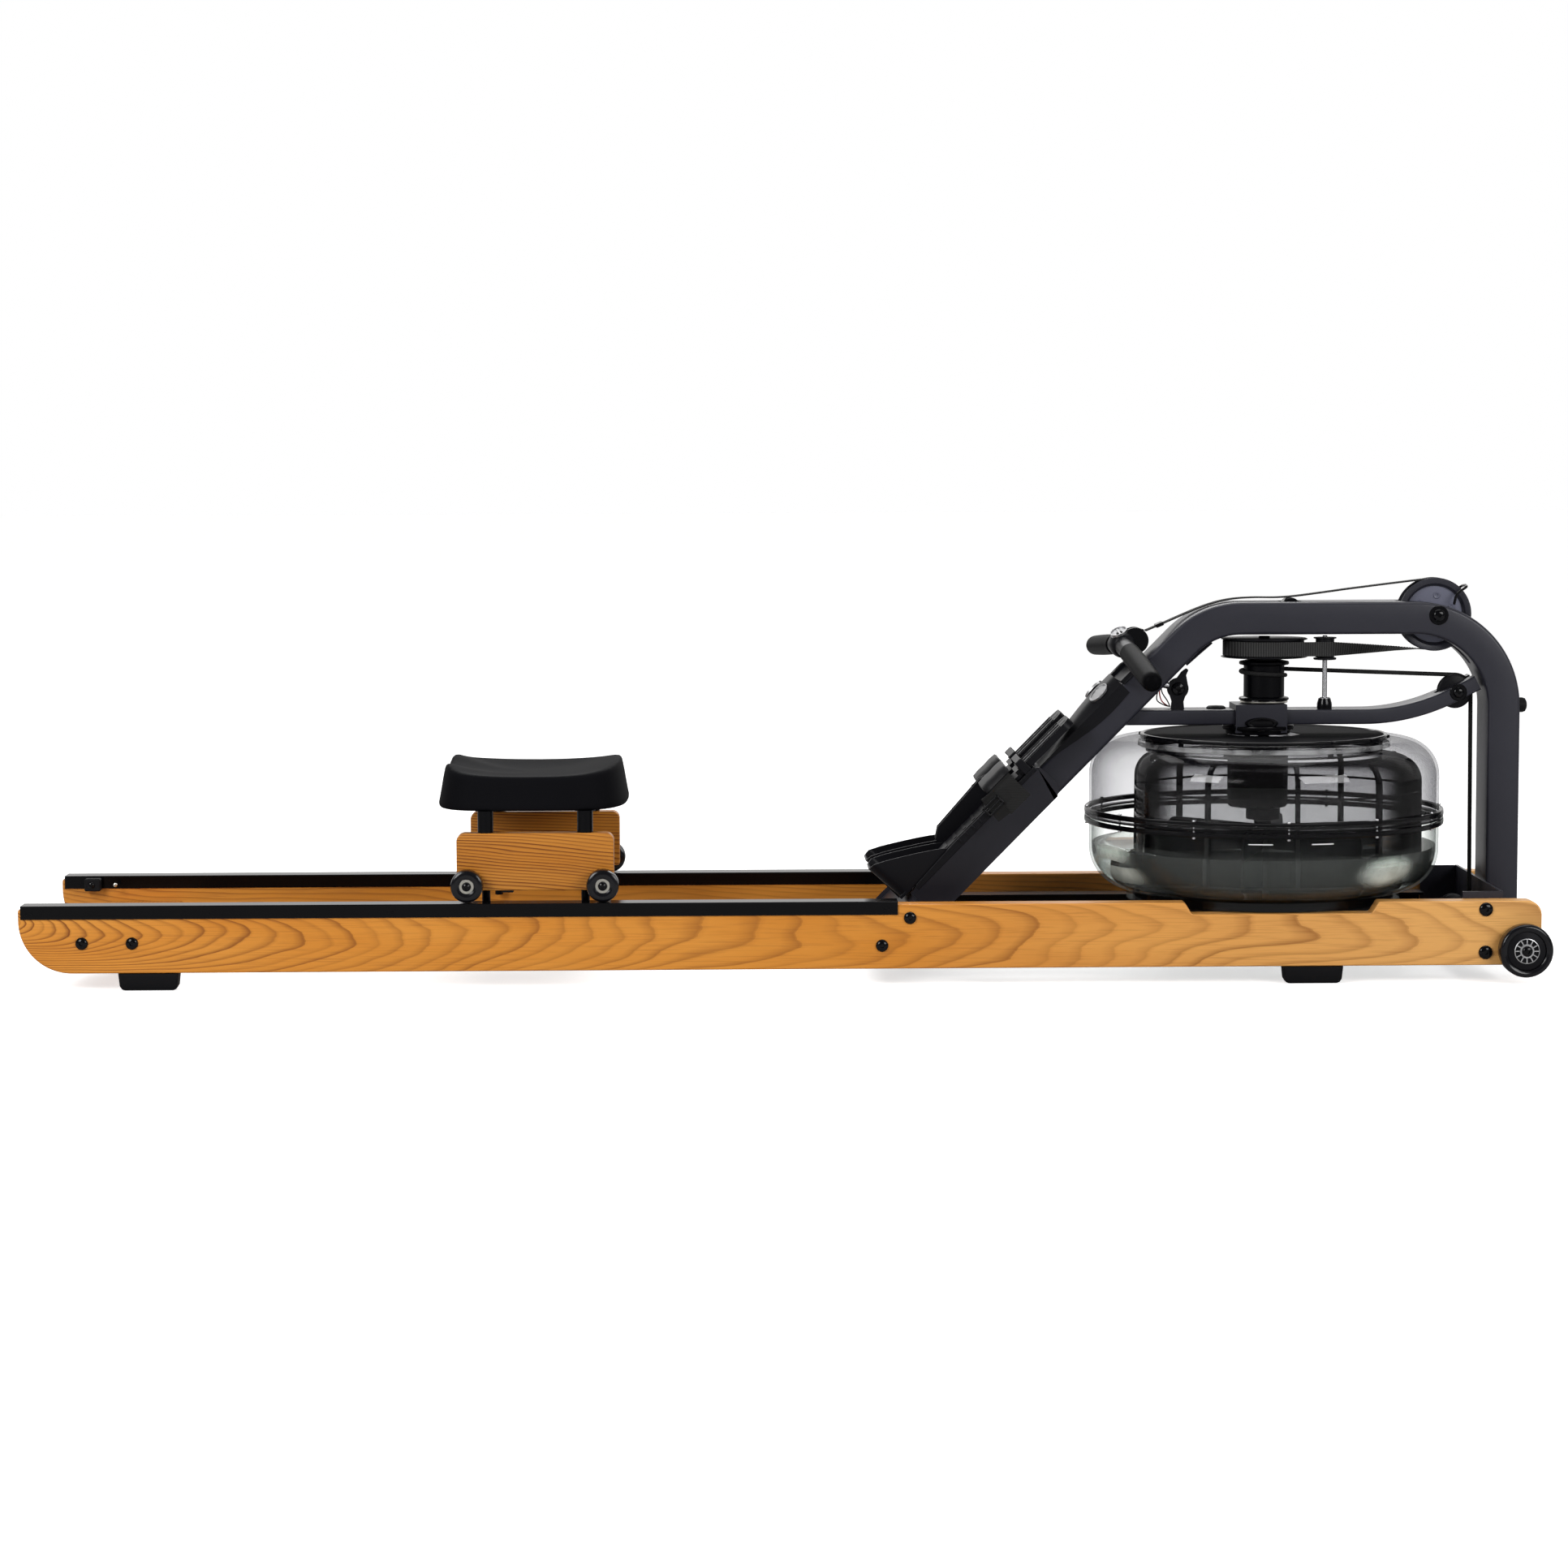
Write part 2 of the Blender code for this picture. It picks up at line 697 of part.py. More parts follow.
def foot_strap(label, sign):
    """A wide band over the toes, from under the outer edge to the inner wall, with its buckle."""
    line = [(0.1035, -0.010), (0.1035, 0.0240)]
    line += [(0.1035 - 0.016 * (1 - math.cos(t)), 0.0240 + 0.0165 * math.sin(t)) for t in (0.5, 1.05, 1.55)]
    line += [(0.0330, 0.0415)]
    line += [(0.0330 - 0.0195 * math.sin(t), 0.0415 - 0.0125 * (1 - math.cos(t))) for t in (0.5, 1.05, 1.55)]
    line += [(0.0135, 0.0142)]
    path = [Vector((0.2065, sign * y, n)) for y, n in line]
    band = ribbon(path, [Vector((1, 0, 0))] * len(path), 0.0215, 0.0022)
    band = on_slope(f"{label}_foot_strap", band, "webbing")
    buckle = box(0.1640, 0.1930, *span(sign, 0.1030, 0.1085), 0.0080, 0.0240)
    join(band, on_slope(f"{label}_buckle", buckle, None))


for label, sign in SIDES:
    footrest(label, sign)
    heel_slider(label, sign)
    foot_strap(label, sign)

# Water tank ---------------------------------------------------------------------------------------

w = TANK_WALL
R = TANK_RADIUS
shoulder = arc(R - 0.052, 0.2720, 0.052, 0, 82, 5)
inner_shoulder = arc(R - 0.052, 0.2720, 0.052 - w, 82, 0, 3)
upper = [(FLANGE_RADIUS, FLANGE_TOP - 0.006), (FLANGE_RADIUS, FLANGE_TOP), (R, FLANGE_TOP)]
upper += shoulder
upper += [(0.176, 0.3245), (0.172, TANK_TOP), (0.034, TANK_TOP), (0.034, TANK_TOP - w)]
upper += [(0.170, TANK_TOP - w), (0.174, 0.3245 - w)]
upper += inner_shoulder
upper += [(R - w, FLANGE_TOP - 0.006)]
finish("tank_upper_shell", turned(upper, "Z", 32), "clear", at=(TANK_X, 0, 0))

gasket = tube_ring(FLANGE_RADIUS - 0.001, R - w, FLANGE_BOTTOM + 0.0055, FLANGE_TOP - 0.0063, "Z", 32)
finish("tank_gasket", gasket, "rubber", at=(TANK_X, 0, 0))

bowl = arc(R - 0.060, 0.1700, 0.060, 0, -84, 5)
inner_bowl = arc(R - 0.060, 0.1700, 0.060 - w, -84, 0, 3)
lower = [(R, FLANGE_BOTTOM), (FLANGE_RADIUS, FLANGE_BOTTOM), (FLANGE_RADIUS, FLANGE_BOTTOM + 0.0052)]
lower += [(R - w, FLANGE_BOTTOM + 0.0052)]
lower += list(reversed(inner_bowl))
lower += [(0, 0.1142), (0, 0.1095), (0.178, 0.1095), (0.180, TANK_FOOT), (0.192, TANK_FOOT)]
lower += list(reversed(bowl))
finish("tank_lower_shell", turned(lower, "Z", 32), "clear", at=(TANK_X, 0, 0))

BAFFLE_X = TANK_X + 0.0150
baffle = finish(
    "tank_baffle", tube_ring(0.2000, 0.1970, 0.1290, 0.3000, "Z", 30), "smoke", at=(BAFFLE_X, 0, 0)
)
for i in range(10):
    angle = math.radians(36 * i + 18)
    rib = box(0.1985, 0.2090, -0.0030, 0.0030, 0.1400, 0.2900)
    join(baffle, finish(f"baffle_rib_{i}", rib, None, at=(BAFFLE_X, 0, 0), turn=(0, 0, angle)))

# Impeller, bearing housing and hub ----------------------------------------------------------------

shaft = [(0, 0.1220), (0.012, 0.1220), (0.012, 0.3000), (SHAFT_RADIUS, 0.3020)]
shaft += [(SHAFT_RADIUS, 0.4660), (0, 0.4660)]
impeller = finish("impeller", turned(shaft, "Z", 20), "plastic", at=(TANK_X, 0, 0))
for i in range(6):
    paddle = box(0.006, 0.175, -0.0020, 0.0020, 0.1300, 0.2000)
    join(
        impeller,
        finish(f"paddle_{i}", paddle, None, at=(TANK_X, 0, 0), turn=(0, 0, math.radians(60 * i + 13))),
    )

housing = finish(
    "bearing_housing",
    turned([(0, 0.3278), (0.050, 0.3278), (0.050, 0.3335), (0, 0.3335)], "Z", 24),
    "plastic",
    at=(TANK_X - 0.008, 0, 0),
)
cube = finish("housing_block", box(-0.036, 0.036, -0.036, 0.036, 0.3320, 0.3715), None, at=(TANK_X - 0.008, 0, 0))
join(housing, cube)
cut(
    housing,
    finish(
        "housing_tunnel",
        box(-0.06, 0.06, -0.0303, 0.0303, BELLY_Z - 0.0108, BELLY_Z + 0.0108),
        None,
        at=(TANK_X, 0, 0),
    ),
    finish("housing_bore", rod(0.0100, 0.31, 0.40, "Z", 20), None, at=(TANK_X, 0, 0)),
)

hub = [
    (SHAFT_RADIUS + GAP, 0.3755),
    (0.035, 0.3755),
    (0.035, 0.3800),
    (SPOOL_RADIUS, 0.3815),
    (SPOOL_RADIUS, 0.4250),
    (0.035, 0.4265),
    (0.035, 0.4310),
    (0.024, 0.4330),
    (0.024, 0.4365),
    (0.0605, 0.4365),
    (0.0605, 0.4380),
    (HUB_BELT_RADIUS, 0.4385),
    (HUB_BELT_RADIUS, 0.4615),
    (0.0605, 0.4620),
    (0.0605, 0.4635),
    (SHAFT_RADIUS + GAP, 0.4635),
]
finish("drive_hub", turned(hub, "Z", 24), "plastic", at=(TANK_X, 0, 0))

# Tensioner ----------------------------------------------------------------------------------------

foot_top = BELLY_Z + BELLY_HEIGHT / 2 + GAP
post = [(0, foot_top), (0.009, foot_top), (0.008, 0.3800), (0.0034, 0.3800), (0.0034, 0.4320)]
post += [(0.0034, 0.4670), (0, 0.4670)]
finish("tensioner_post", turned(post, "Z", 16), "chrome", at=(TENSIONER_X, TENSIONER_Y, 0))
wheel = [
    (0.0037, 0.4335),
    (0.0160, 0.4335),
    (0.0160, 0.4365),
    (0.0130, 0.4375),
    (0.0130, 0.4625),
    (0.0160, 0.4635),
    (0.0160, 0.4655),
    (0.0037, 0.4655),
]
finish("tensioner_pulley", turned(wheel, "Z", 16), "plastic", at=(TENSIONER_X, TENSIONER_Y, 0))

# Pulleys ------------------------------------------------------------------------------------------

r = MAIN_PULLEY_RADIUS
g = MAIN_GROOVE_RADIUS
profile = [
    (0.0063, -0.0120),
    (0.0130, -0.0120),
    (0.0130, -0.0060),
    (r - 0.0100, -0.0060),
    (r - 0.0080, -0.0132),
    (r, -0.0132),
    (r, -0.0116),
    (g, -0.0110),
    (g, 0.0110),
    (r, 0.0116),
    (r, 0.0132),
    (r - 0.0080, 0.0132),
    (r - 0.0100, 0.0060),
    (0.0130, 0.0060),
    (0.0130, 0.0120),
    (0.0063, 0.0120),
]
finish("main_pulley", turned(profile, "Y", 24), "pulley", at=(MAIN_PULLEY_X, 0, MAIN_PULLEY_Z))

head = TUBE_HALF_WIDTH + GAP
axle = [
    (0, -head - 0.0050),
    (0.0060, -head - 0.0050),
    (0.0110, -head - 0.0015),
    (0.0110, -head),
    (0.0060, -head),
    (0.0060, head),
    (0.0110, head),
    (0.0110, head + 0.0015),
    (0.0060, head + 0.0050),
    (0, head + 0.0050),
]
finish("main_pulley_axle", turned(axle, "Y", 16), "steel", at=(MAIN_PULLEY_X, 0, MAIN_PULLEY_Z))

roller = [
    (0, -0.0368),
    (0.0030, -0.0368),
    (0.0030, -0.0130),
    (GUIDE_RADIUS, -0.0130),
    (GUIDE_RADIUS, 0.0130),
    (0.0030, 0.0130),
    (0.0030, 0.0368),
    (0, 0.0368),
]
finish("guide_roller", turned(roller, "Y", 20), "plastic", at=(GUIDE_X, 0, GUIDE_Z))

r = BUNGEE_PULLEY_RADIUS
g = BUNGEE_GROOVE_RADIUS
grooved = [
    (0.0043, -0.0075),
    (r - 0.0020, -0.0075),
    (r, -0.0060),
    (r, -0.0045),
    (g, -0.0034),
    (g, 0.0034),
    (r, 0.0045),
    (r, 0.0060),
    (r - 0.0020, 0.0075),
    (0.0043, 0.0075),
]
for name, x, z in (
    ("bungee_pulley", BUNGEE_PULLEY_X, BUNGEE_PULLEY_Z),
    ("lower_bungee_pulley", LOWER_PULLEY_X, LOWER_PULLEY_Z),
):
    finish(name, turned(grooved, "Y", 16), "pulley", at=(x, 0, z))

head = BELLY_HALF_WIDTH + GAP
axle = [
    (0, -head - 0.0045),
    (0.0075, -head - 0.0040),
    (0.0075, -head),
    (0.0040, -head),
    (0.0040, head),
    (0.0075, head),
    (0.0075, head + 0.0040),
    (0, head + 0.0045),
]
finish(
    "bungee_pulley_axle", turned(axle, "Y", 12), "steel", at=(BUNGEE_PULLEY_X, 0, BUNGEE_PULLEY_Z)
)

# Belt, strap and cord -----------------------------------------------------------------------------

belt_radius = HUB_BELT_RADIUS + WRAP_GAP + BELT_THICKNESS / 2
pulley_belt_radius = MAIN_GROOVE_RADIUS + WRAP_GAP + BELT_THICKNESS / 2


def drive_belt():
    """Round the hub with its width upright, a quarter twist, then over the main pulley."""
    path = []
    widths = []
    lead = math.atan2(belt_radius, MAIN_PULLEY_X - TANK_X)
    for i in range(19):
        angle = math.radians(-90 - 12.0 * (18 - i)) + lead
        x = TANK_X + belt_radius * math.cos(angle)
        path.append(Vector((x, belt_radius * math.sin(angle), BELT_Z)))
        widths.append(Vector((0, 0, 1)))
    leave = path[-1]
    arrive = Vector((MAIN_PULLEY_X, 0, MAIN_PULLEY_Z - pulley_belt_radius))
    for i in range(1, 12):
        t = i / 12
        point = leave.lerp(arrive, t)
        point.y = leave.y * max(0.0, 1 - t / 0.78)
        path.append(point)
        twist = min(1.0, max(0.0, (t - 0.38) / 0.55))
        turn = math.pi / 2 * (twist * twist * (3 - 2 * twist))
        widths.append(Vector((0, -math.sin(turn), math.cos(turn))))
    for i in range(15):
        angle = math.radians(-90 + 12.5 * i)
        x = MAIN_PULLEY_X + pulley_belt_radius * math.cos(angle)
        path.append(Vector((x, 0, MAIN_PULLEY_Z + pulley_belt_radius * math.sin(angle))))
        widths.append(Vector((0, -1, 0)))
    return ribbon(path, widths, BELT_HALF_WIDTH, BELT_THICKNESS)


finish("drive_belt", drive_belt(), "webbing")

strap_start = Vector((1.5560, 0, 0.4752))
strap_path = [
    strap_start,
    Vector((1.6100, 0, 0.4985)),
    Vector((1.6560, 0, 0.5180)),
    Vector((1.7000, 0, 0.5203)),
    Vector((GUIDE_X, 0, GUIDE_Z + GUIDE_RADIUS + GAP + BELT_THICKNESS / 2)),
    Vector((1.8500, 0, 0.5334)),
    Vector((1.9440, 0, 0.5447)),
]
finish(
    "pull_strap",
    ribbon(strap_path, [Vector((0, 1, 0))] * len(strap_path), BELT_HALF_WIDTH, BELT_THICKNESS),
    "webbing",
)


def bungee_path():
    wound = SPOOL_RADIUS + WRAP_GAP + CORD_RADIUS
    over = BUNGEE_GROOVE_RADIUS + WRAP_GAP + CORD_RADIUS
    points = []
    for i in range(13):
        angle = math.radians(330 - 20.0 * i)
        height = CORD_Z - 0.007 * (1 - i / 12)
        points.append(Vector((TANK_X + wound * math.cos(angle), wound * math.sin(angle), height)))
    for i in range(8):
        angle = math.radians(90 - 90 * i / 7)
        x = BUNGEE_PULLEY_X + over * math.cos(angle)
        points.append(Vector((x, 0, BUNGEE_PULLEY_Z + over * math.sin(angle))))
    for i in range(8):
        angle = math.radians(-90 * i / 7)
        x = LOWER_PULLEY_X + over * math.cos(angle)
        points.append(Vector((x, 0, LOWER_PULLEY_Z + over * math.sin(angle))))
    points.append(Vector((1.1990, 0, LOWER_PULLEY_Z - over)))
    return points


finish("bungee_cord", cord(bungee_path(), CORD_RADIUS), "rubber")

# Sensor bracket on the belly bar ------------------------------------------------------------------

outline = [(-0.013, foot_top - 0.3942), (0.014, foot_top - 0.3942), (0.014, -0.004)]
outline += arc(0.0, 0.0, 0.0140, -15, 40, 3)
outline += [(0.0120, 0.0260), (0.0040, 0.0290)]
outline += arc(0.0, 0.0, 0.0140, 95, 195, 5)
sensor = finish("sensor_bracket", prism(outline, -0.0280, -0.0200), "plastic", at=(1.5980, 0, 0.3942))
join(sensor, finish("sensor_cap", rod(0.0085, -0.0330, -0.0210, "Y", 16), None, at=(1.5980, 0, 0.3942)))

# Seat ---------------------------------------------------------------------------------------------


def seat_ring(half_x, half_y, height, lift):
    """A rounded oblong ring with a slightly bowed front. lift scales the saddle shape of the top."""
    ring = []
    for i in range(32):
        angle = 2 * math.pi * i / 32
        c, s = math.cos(angle), math.sin(angle)
        u = math.copysign(abs(c) ** 0.45, c)
        v = math.copysign(abs(s) ** 0.45, s)
        lobe = math.exp(-(((abs(v) - 0.55) / 0.35) ** 2))
        rise = (0.005 + 0.012 * lobe) * max(-u, 0.0) ** 2.2
        rise += (0.007 + 0.012 * (1 - v * v)) * max(u, 0.0) ** 2.2
        rise *= (half_x / SEAT_HALF_LENGTH) ** 2
        bow = 0.013 * max(u, 0.0) * v * v
        ring.append((u * half_x + PAD_OFFSET_X - bow, v * half_y, height + lift * rise))
    return ring


def seat_pad():
    rings = []
    for inset, height, lift in (
        (0.0040, 0.0, 0.0),
        (0.0, 0.0040, 0.02),
        (0.0040, 0.0190, 0.3),
        (0.0085, 0.0370, 0.8),
        (0.0115, 0.0432, 0.95),
        (0.0175, 0.0445, 1.0),
        (0.0450, 0.0415, 1.0),
        (0.0800, 0.0390, 1.0),
        (0.1150, 0.0385, 1.0),
    ):
        rings.append(seat_ring(SEAT_HALF_LENGTH - inset, SEAT_HALF_WIDTH - inset, PAD_BASE + height, lift))
    return loft(rings)


finish("seat_pad", seat_pad(), "rubber", at=(SEAT_X, 0, 0))

frame_top = SEAT_BASE - GAP
seat_frame = finish(
    "seat_frame",
    box(-0.095, 0.095, -0.1000, 0.1000, frame_top - 0.0040, frame_top),
    "steel",
    at=(SEAT_X, 0, 0),
)
for end in (-1, 1):
    strip = box(-0.0140, 0.0140, -0.1600, 0.1600, frame_top - 0.0036, frame_top - 0.0004)
    join(seat_frame, finish(f"seat_strip_{end}", strip, None, at=(SEAT_X + end * POST_REACH, 0, 0)))

block_y = (BLOCK_INNER_Y + BLOCK_OUTER_Y) / 2
posts = []
for label, sign in SIDES:
    for end in (-1, 1):
        post = turned(
            [
                (0, 0.0880),
                (0.0058, 0.0880),
                (0.0058, BLOCK_TOP + GAP),
                (0.0098, BLOCK_TOP + GAP),
                (0.0098, frame_top - 0.0020),
                (0, frame_top - 0.0020),
            ],
            "Z",
            12,
        )
        at = (SEAT_X + end * POST_REACH, sign * block_y, 0)
        join(seat_frame, finish(f"{label}_post_{end}", post, None, at=at))

for label, sign in SIDES:
    corner = 0.011
    half = BLOCK_HALF_LENGTH
    outline = arc(half - corner, BLOCK_TOP - corner, corner, 0, 90, 4)
    outline += arc(corner - half, BLOCK_TOP - corner, corner, 90, 180, 4)
    outline += [(-half, BLOCK_BOTTOM + 0.003), (0.003 - half, BLOCK_BOTTOM)]
    outline += [(half - 0.003, BLOCK_BOTTOM), (half, BLOCK_BOTTOM + 0.003)]
    block = prism(outline, *span(sign, BLOCK_INNER_Y, BLOCK_OUTER_Y))
    block = finish(f"{label}_seat_block", block, "wood", at=(SEAT_X, 0, 0))
    bevel(block, 0.0012, 1)
    for index, end in enumerate((-1, 1)):
        at = (SEAT_X + end * POST_REACH, sign * block_y, 0)
        hole = rod(0.0063, 0.08, 0.25, "Z", 12)
        cut(block, finish(f"{label}_block_hole_{index}", hole, None, at=at))
        at = (SEAT_X + end * ROLLER_REACH, 0, ROLLER_Z)
        hole = rod(0.0055, *span(sign, 0.12, 0.18), axis="Y", segments=12)
        cut(block, finish(f"{label}_block_bore_{index}", hole, None, at=at))
    for end, name in ((-1, "rear"), (1, "front")):
        r = ROLLER_RADIUS
        low, high = -0.0110, 0.0110
        profile = [
            (0.0053, low),
            (r - 0.0030, low),
            (r, low + 0.0030),
            (r, high - 0.0030),
            (r - 0.0030, high),
            (0.0053, high),
        ]
        at = (SEAT_X + end * ROLLER_REACH, sign * 0.1773, ROLLER_Z)
        finish(f"{label}_{name}_roller", turned(profile, "Y", 20), "rubber", at=at)

for end, name in ((-1, "rear"), (1, "front")):
    profile = [(0, -0.1925), (0.0068, -0.1920), (0.0068, -0.1887), (0.0050, -0.1887)]
    profile += [(0.0050, 0.1887), (0.0068, 0.1887), (0.0068, 0.1920), (0, 0.1925)]
    at = (SEAT_X + end * ROLLER_REACH, 0, ROLLER_Z)
    finish(f"{name}_seat_axle", turned(profile, "Y", 16), "chrome", at=at)

# Handle -------------------------------------------------------------------------------------------

HANDLE_TURN = (math.radians(2.75), 0.0, math.radians(3.6))
HANDLE_AT = (HANDLE_X, 0, HANDLE_Z)


def lean_out(bm, sign):
    """Points the mesh, drawn outwards along Y, down by the droop of this grip."""
    spin = Matrix.Rotation(-sign * GRIP_DROOP, 4, "X")
    bmesh.ops.transform(bm, matrix=spin, verts=bm.verts)
    return bm


def turned_out(profile, sign, segments):
    return lean_out(turned([(r, sign * along) for r, along in profile], "Y", segments), sign)


core = turned([(0, -0.019), (0.014, -0.016), (0.018, 0.0), (0.014, 0.016), (0, 0.019)], "Y", 16)
core = finish("handle_core", core, "plastic", at=HANDLE_AT, turn=HANDLE_TURN)
for label, sign in SIDES:
    arm = [(0, 0.0), (0.0140, 0.0), (0.0128, 0.0300), (0.0125, GRIP_START - GAP)]
    arm += [(0.0080, GRIP_START - GAP), (0.0080, 0.2350), (0, 0.2350)]
    arm = turned_out(arm, sign, 14)
    join(core, finish(f"{label}_handle_arm", arm, None, at=HANDLE_AT, turn=HANDLE_TURN))
    r = GRIP_RADIUS
    grip = [(0, 0.2353), (0.0083, 0.2353), (0.0083, GRIP_START), (r - 0.0012, GRIP_START)]
    grip += [(r, GRIP_START + 0.003), (r + 0.0006, 0.150), (r, GRIP_END - 0.010)]
    grip += [(r - 0.0025, GRIP_END - 0.003), (r - 0.0070, GRIP_END), (0, GRIP_END + 0.001)]
    finish(f"{label}_grip", turned_out(grip, sign, 14), "rubber", at=HANDLE_AT, turn=HANDLE_TURN)
clevis = box(0.008, 0.0300, -0.0130, 0.0130, 0.0020, 0.0230)
clevis_cut = box(0.018, 0.0500, -0.0115, 0.0115, 0.0120, 0.0400)
join(core, finish("handle_clevis", clevis, None, at=HANDLE_AT))
cut(core, finish("handle_clevis_slot", clevis_cut, None, at=HANDLE_AT))

# The origin goes to the middle of the length ------------------------------------------------------

for obj in bpy.data.objects:
    obj.location.x -= LENGTH / 2
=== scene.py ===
"""Looks of a wooden-rail water rowing machine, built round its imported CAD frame.

X is written here as the distance from the rear end of the rails, as in the CAD design, and add()
moves each piece by REAR_END to the frame's own origin in the middle of the length. Metres, Z up.
"""

from math import acos, atan2, copysign, cos, degrees, exp, pi, radians, sin, sqrt, tan

import bmesh
import bpy
from mathutils import Matrix, Vector


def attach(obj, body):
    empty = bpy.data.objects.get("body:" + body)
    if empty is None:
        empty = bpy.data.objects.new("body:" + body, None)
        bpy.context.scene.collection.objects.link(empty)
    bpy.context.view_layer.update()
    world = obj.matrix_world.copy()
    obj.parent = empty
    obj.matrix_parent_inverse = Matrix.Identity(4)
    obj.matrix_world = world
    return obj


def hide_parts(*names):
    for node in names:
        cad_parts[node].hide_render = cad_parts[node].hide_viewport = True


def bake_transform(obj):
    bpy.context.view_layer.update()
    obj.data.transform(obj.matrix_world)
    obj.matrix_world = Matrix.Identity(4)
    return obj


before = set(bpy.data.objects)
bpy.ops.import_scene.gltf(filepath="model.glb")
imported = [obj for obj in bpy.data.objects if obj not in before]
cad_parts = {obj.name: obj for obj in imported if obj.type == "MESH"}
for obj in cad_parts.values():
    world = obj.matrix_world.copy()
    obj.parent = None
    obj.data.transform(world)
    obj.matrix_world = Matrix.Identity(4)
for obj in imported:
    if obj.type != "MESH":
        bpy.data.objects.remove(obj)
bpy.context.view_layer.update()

REAR_END = -1.045
SIDES = (("near", -1), ("far", 1))
ENDS = ((-1, "rear"), (1, "front"))
SLOPE = radians(45.4)
FOOT_X, FOOT_Z = 1.2199, 0.1

# Camera -------------------------------------------------------------------------------------------

CAMERA_AT = (-0.0859, -5.3439, 0.7569)
CAMERA_YAW = radians(0.927)
CAMERA_PITCH = radians(5.307)
CAMERA_ROLL = radians(-0.222)
LENS = 87.41

camera_data = bpy.data.cameras.new("camera")
camera_data.lens = LENS
camera_data.sensor_width = 36.0
camera_data.clip_start = 0.05
camera_data.clip_end = 100.0
camera = bpy.data.objects.new("camera", camera_data)
bpy.context.scene.collection.objects.link(camera)
camera.matrix_world = (
    Matrix.Translation(CAMERA_AT)
    @ Matrix.Rotation(-CAMERA_YAW, 4, "Z")
    @ Matrix.Rotation(pi / 2 - CAMERA_PITCH, 4, "X")
    @ Matrix.Rotation(CAMERA_ROLL, 4, "Z")
)
bpy.context.scene.camera = camera
bpy.context.scene.view_settings.view_transform = "Standard"

# Floor and light ----------------------------------------------------------------------------------


class Nodes:
    """A short way to write a node tree."""

    def __init__(self, tree):
        self.tree = tree

    def add(self, kind, inputs=None, **settings):
        node = self.tree.nodes.new(kind)
        for key, value in settings.items():
            setattr(node, key, value)
        for key, value in (inputs or {}).items():
            self.put(node.inputs[key], value)
        return node

    def put(self, socket, value):
        if isinstance(value, bpy.types.NodeSocket):
            self.tree.links.new(value, socket)
        else:
            socket.default_value = value

    def math(self, operation, a, b=0.0, clamp=False):
        node = self.tree.nodes.new("ShaderNodeMath")
        node.operation = operation
        node.use_clamp = clamp
        self.put(node.inputs[0], a)
        self.put(node.inputs[1], b)
        return node.outputs[0]

    def times(self, a, b, clamp=False):
        return self.math("MULTIPLY", a, b, clamp)

    def plus(self, a, b, clamp=False):
        return self.math("ADD", a, b, clamp)

    def scaled(self, at, factors):
        """The place at, stretched by a factor along each axis."""
        pulled = [part if factor == 1 else self.times(part, factor) for part, factor in zip(at, factors)]
        return self.add("ShaderNodeCombineXYZ", dict(zip("XYZ", pulled))).outputs[0]

    def ramp(self, value, stops, interpolation="LINEAR"):
        """A colour ramp. A stop's colour is a triple, or one number for a grey."""
        node = self.tree.nodes.new("ShaderNodeValToRGB")
        node.color_ramp.interpolation = interpolation
        elements = node.color_ramp.elements
        while len(elements) < len(stops):
            elements.new(0.5)
        for element, (at, colour) in zip(elements, stops):
            element.position = at
            element.color = (*(colour if isinstance(colour, tuple) else (colour,) * 3), 1.0)
        self.put(node.inputs[0], value)
        return node.outputs[0]

    def mix(self, share, a, b):
        node = self.tree.nodes.new("ShaderNodeMix")
        node.data_type = "RGBA"
        self.put(node.inputs[0], share)
        self.put(node.inputs[6], a)
        self.put(node.inputs[7], b)
        return node.outputs[2]


def shader_of(name):
    """A new material, its node helper and its Principled shader."""
    made = bpy.data.materials.new(name)
    made.use_nodes = True
    n = Nodes(made.node_tree)
    return made, n, made.node_tree.nodes["Principled BSDF"]


def seen_directly(n):
    """1 for rays that reach the studio straight from the camera or through clear plastic and water."""
    path = n.add("ShaderNodeLightPath")
    return n.math("MAXIMUM", path.outputs["Is Camera Ray"], path.outputs["Is Transmission Ray"])


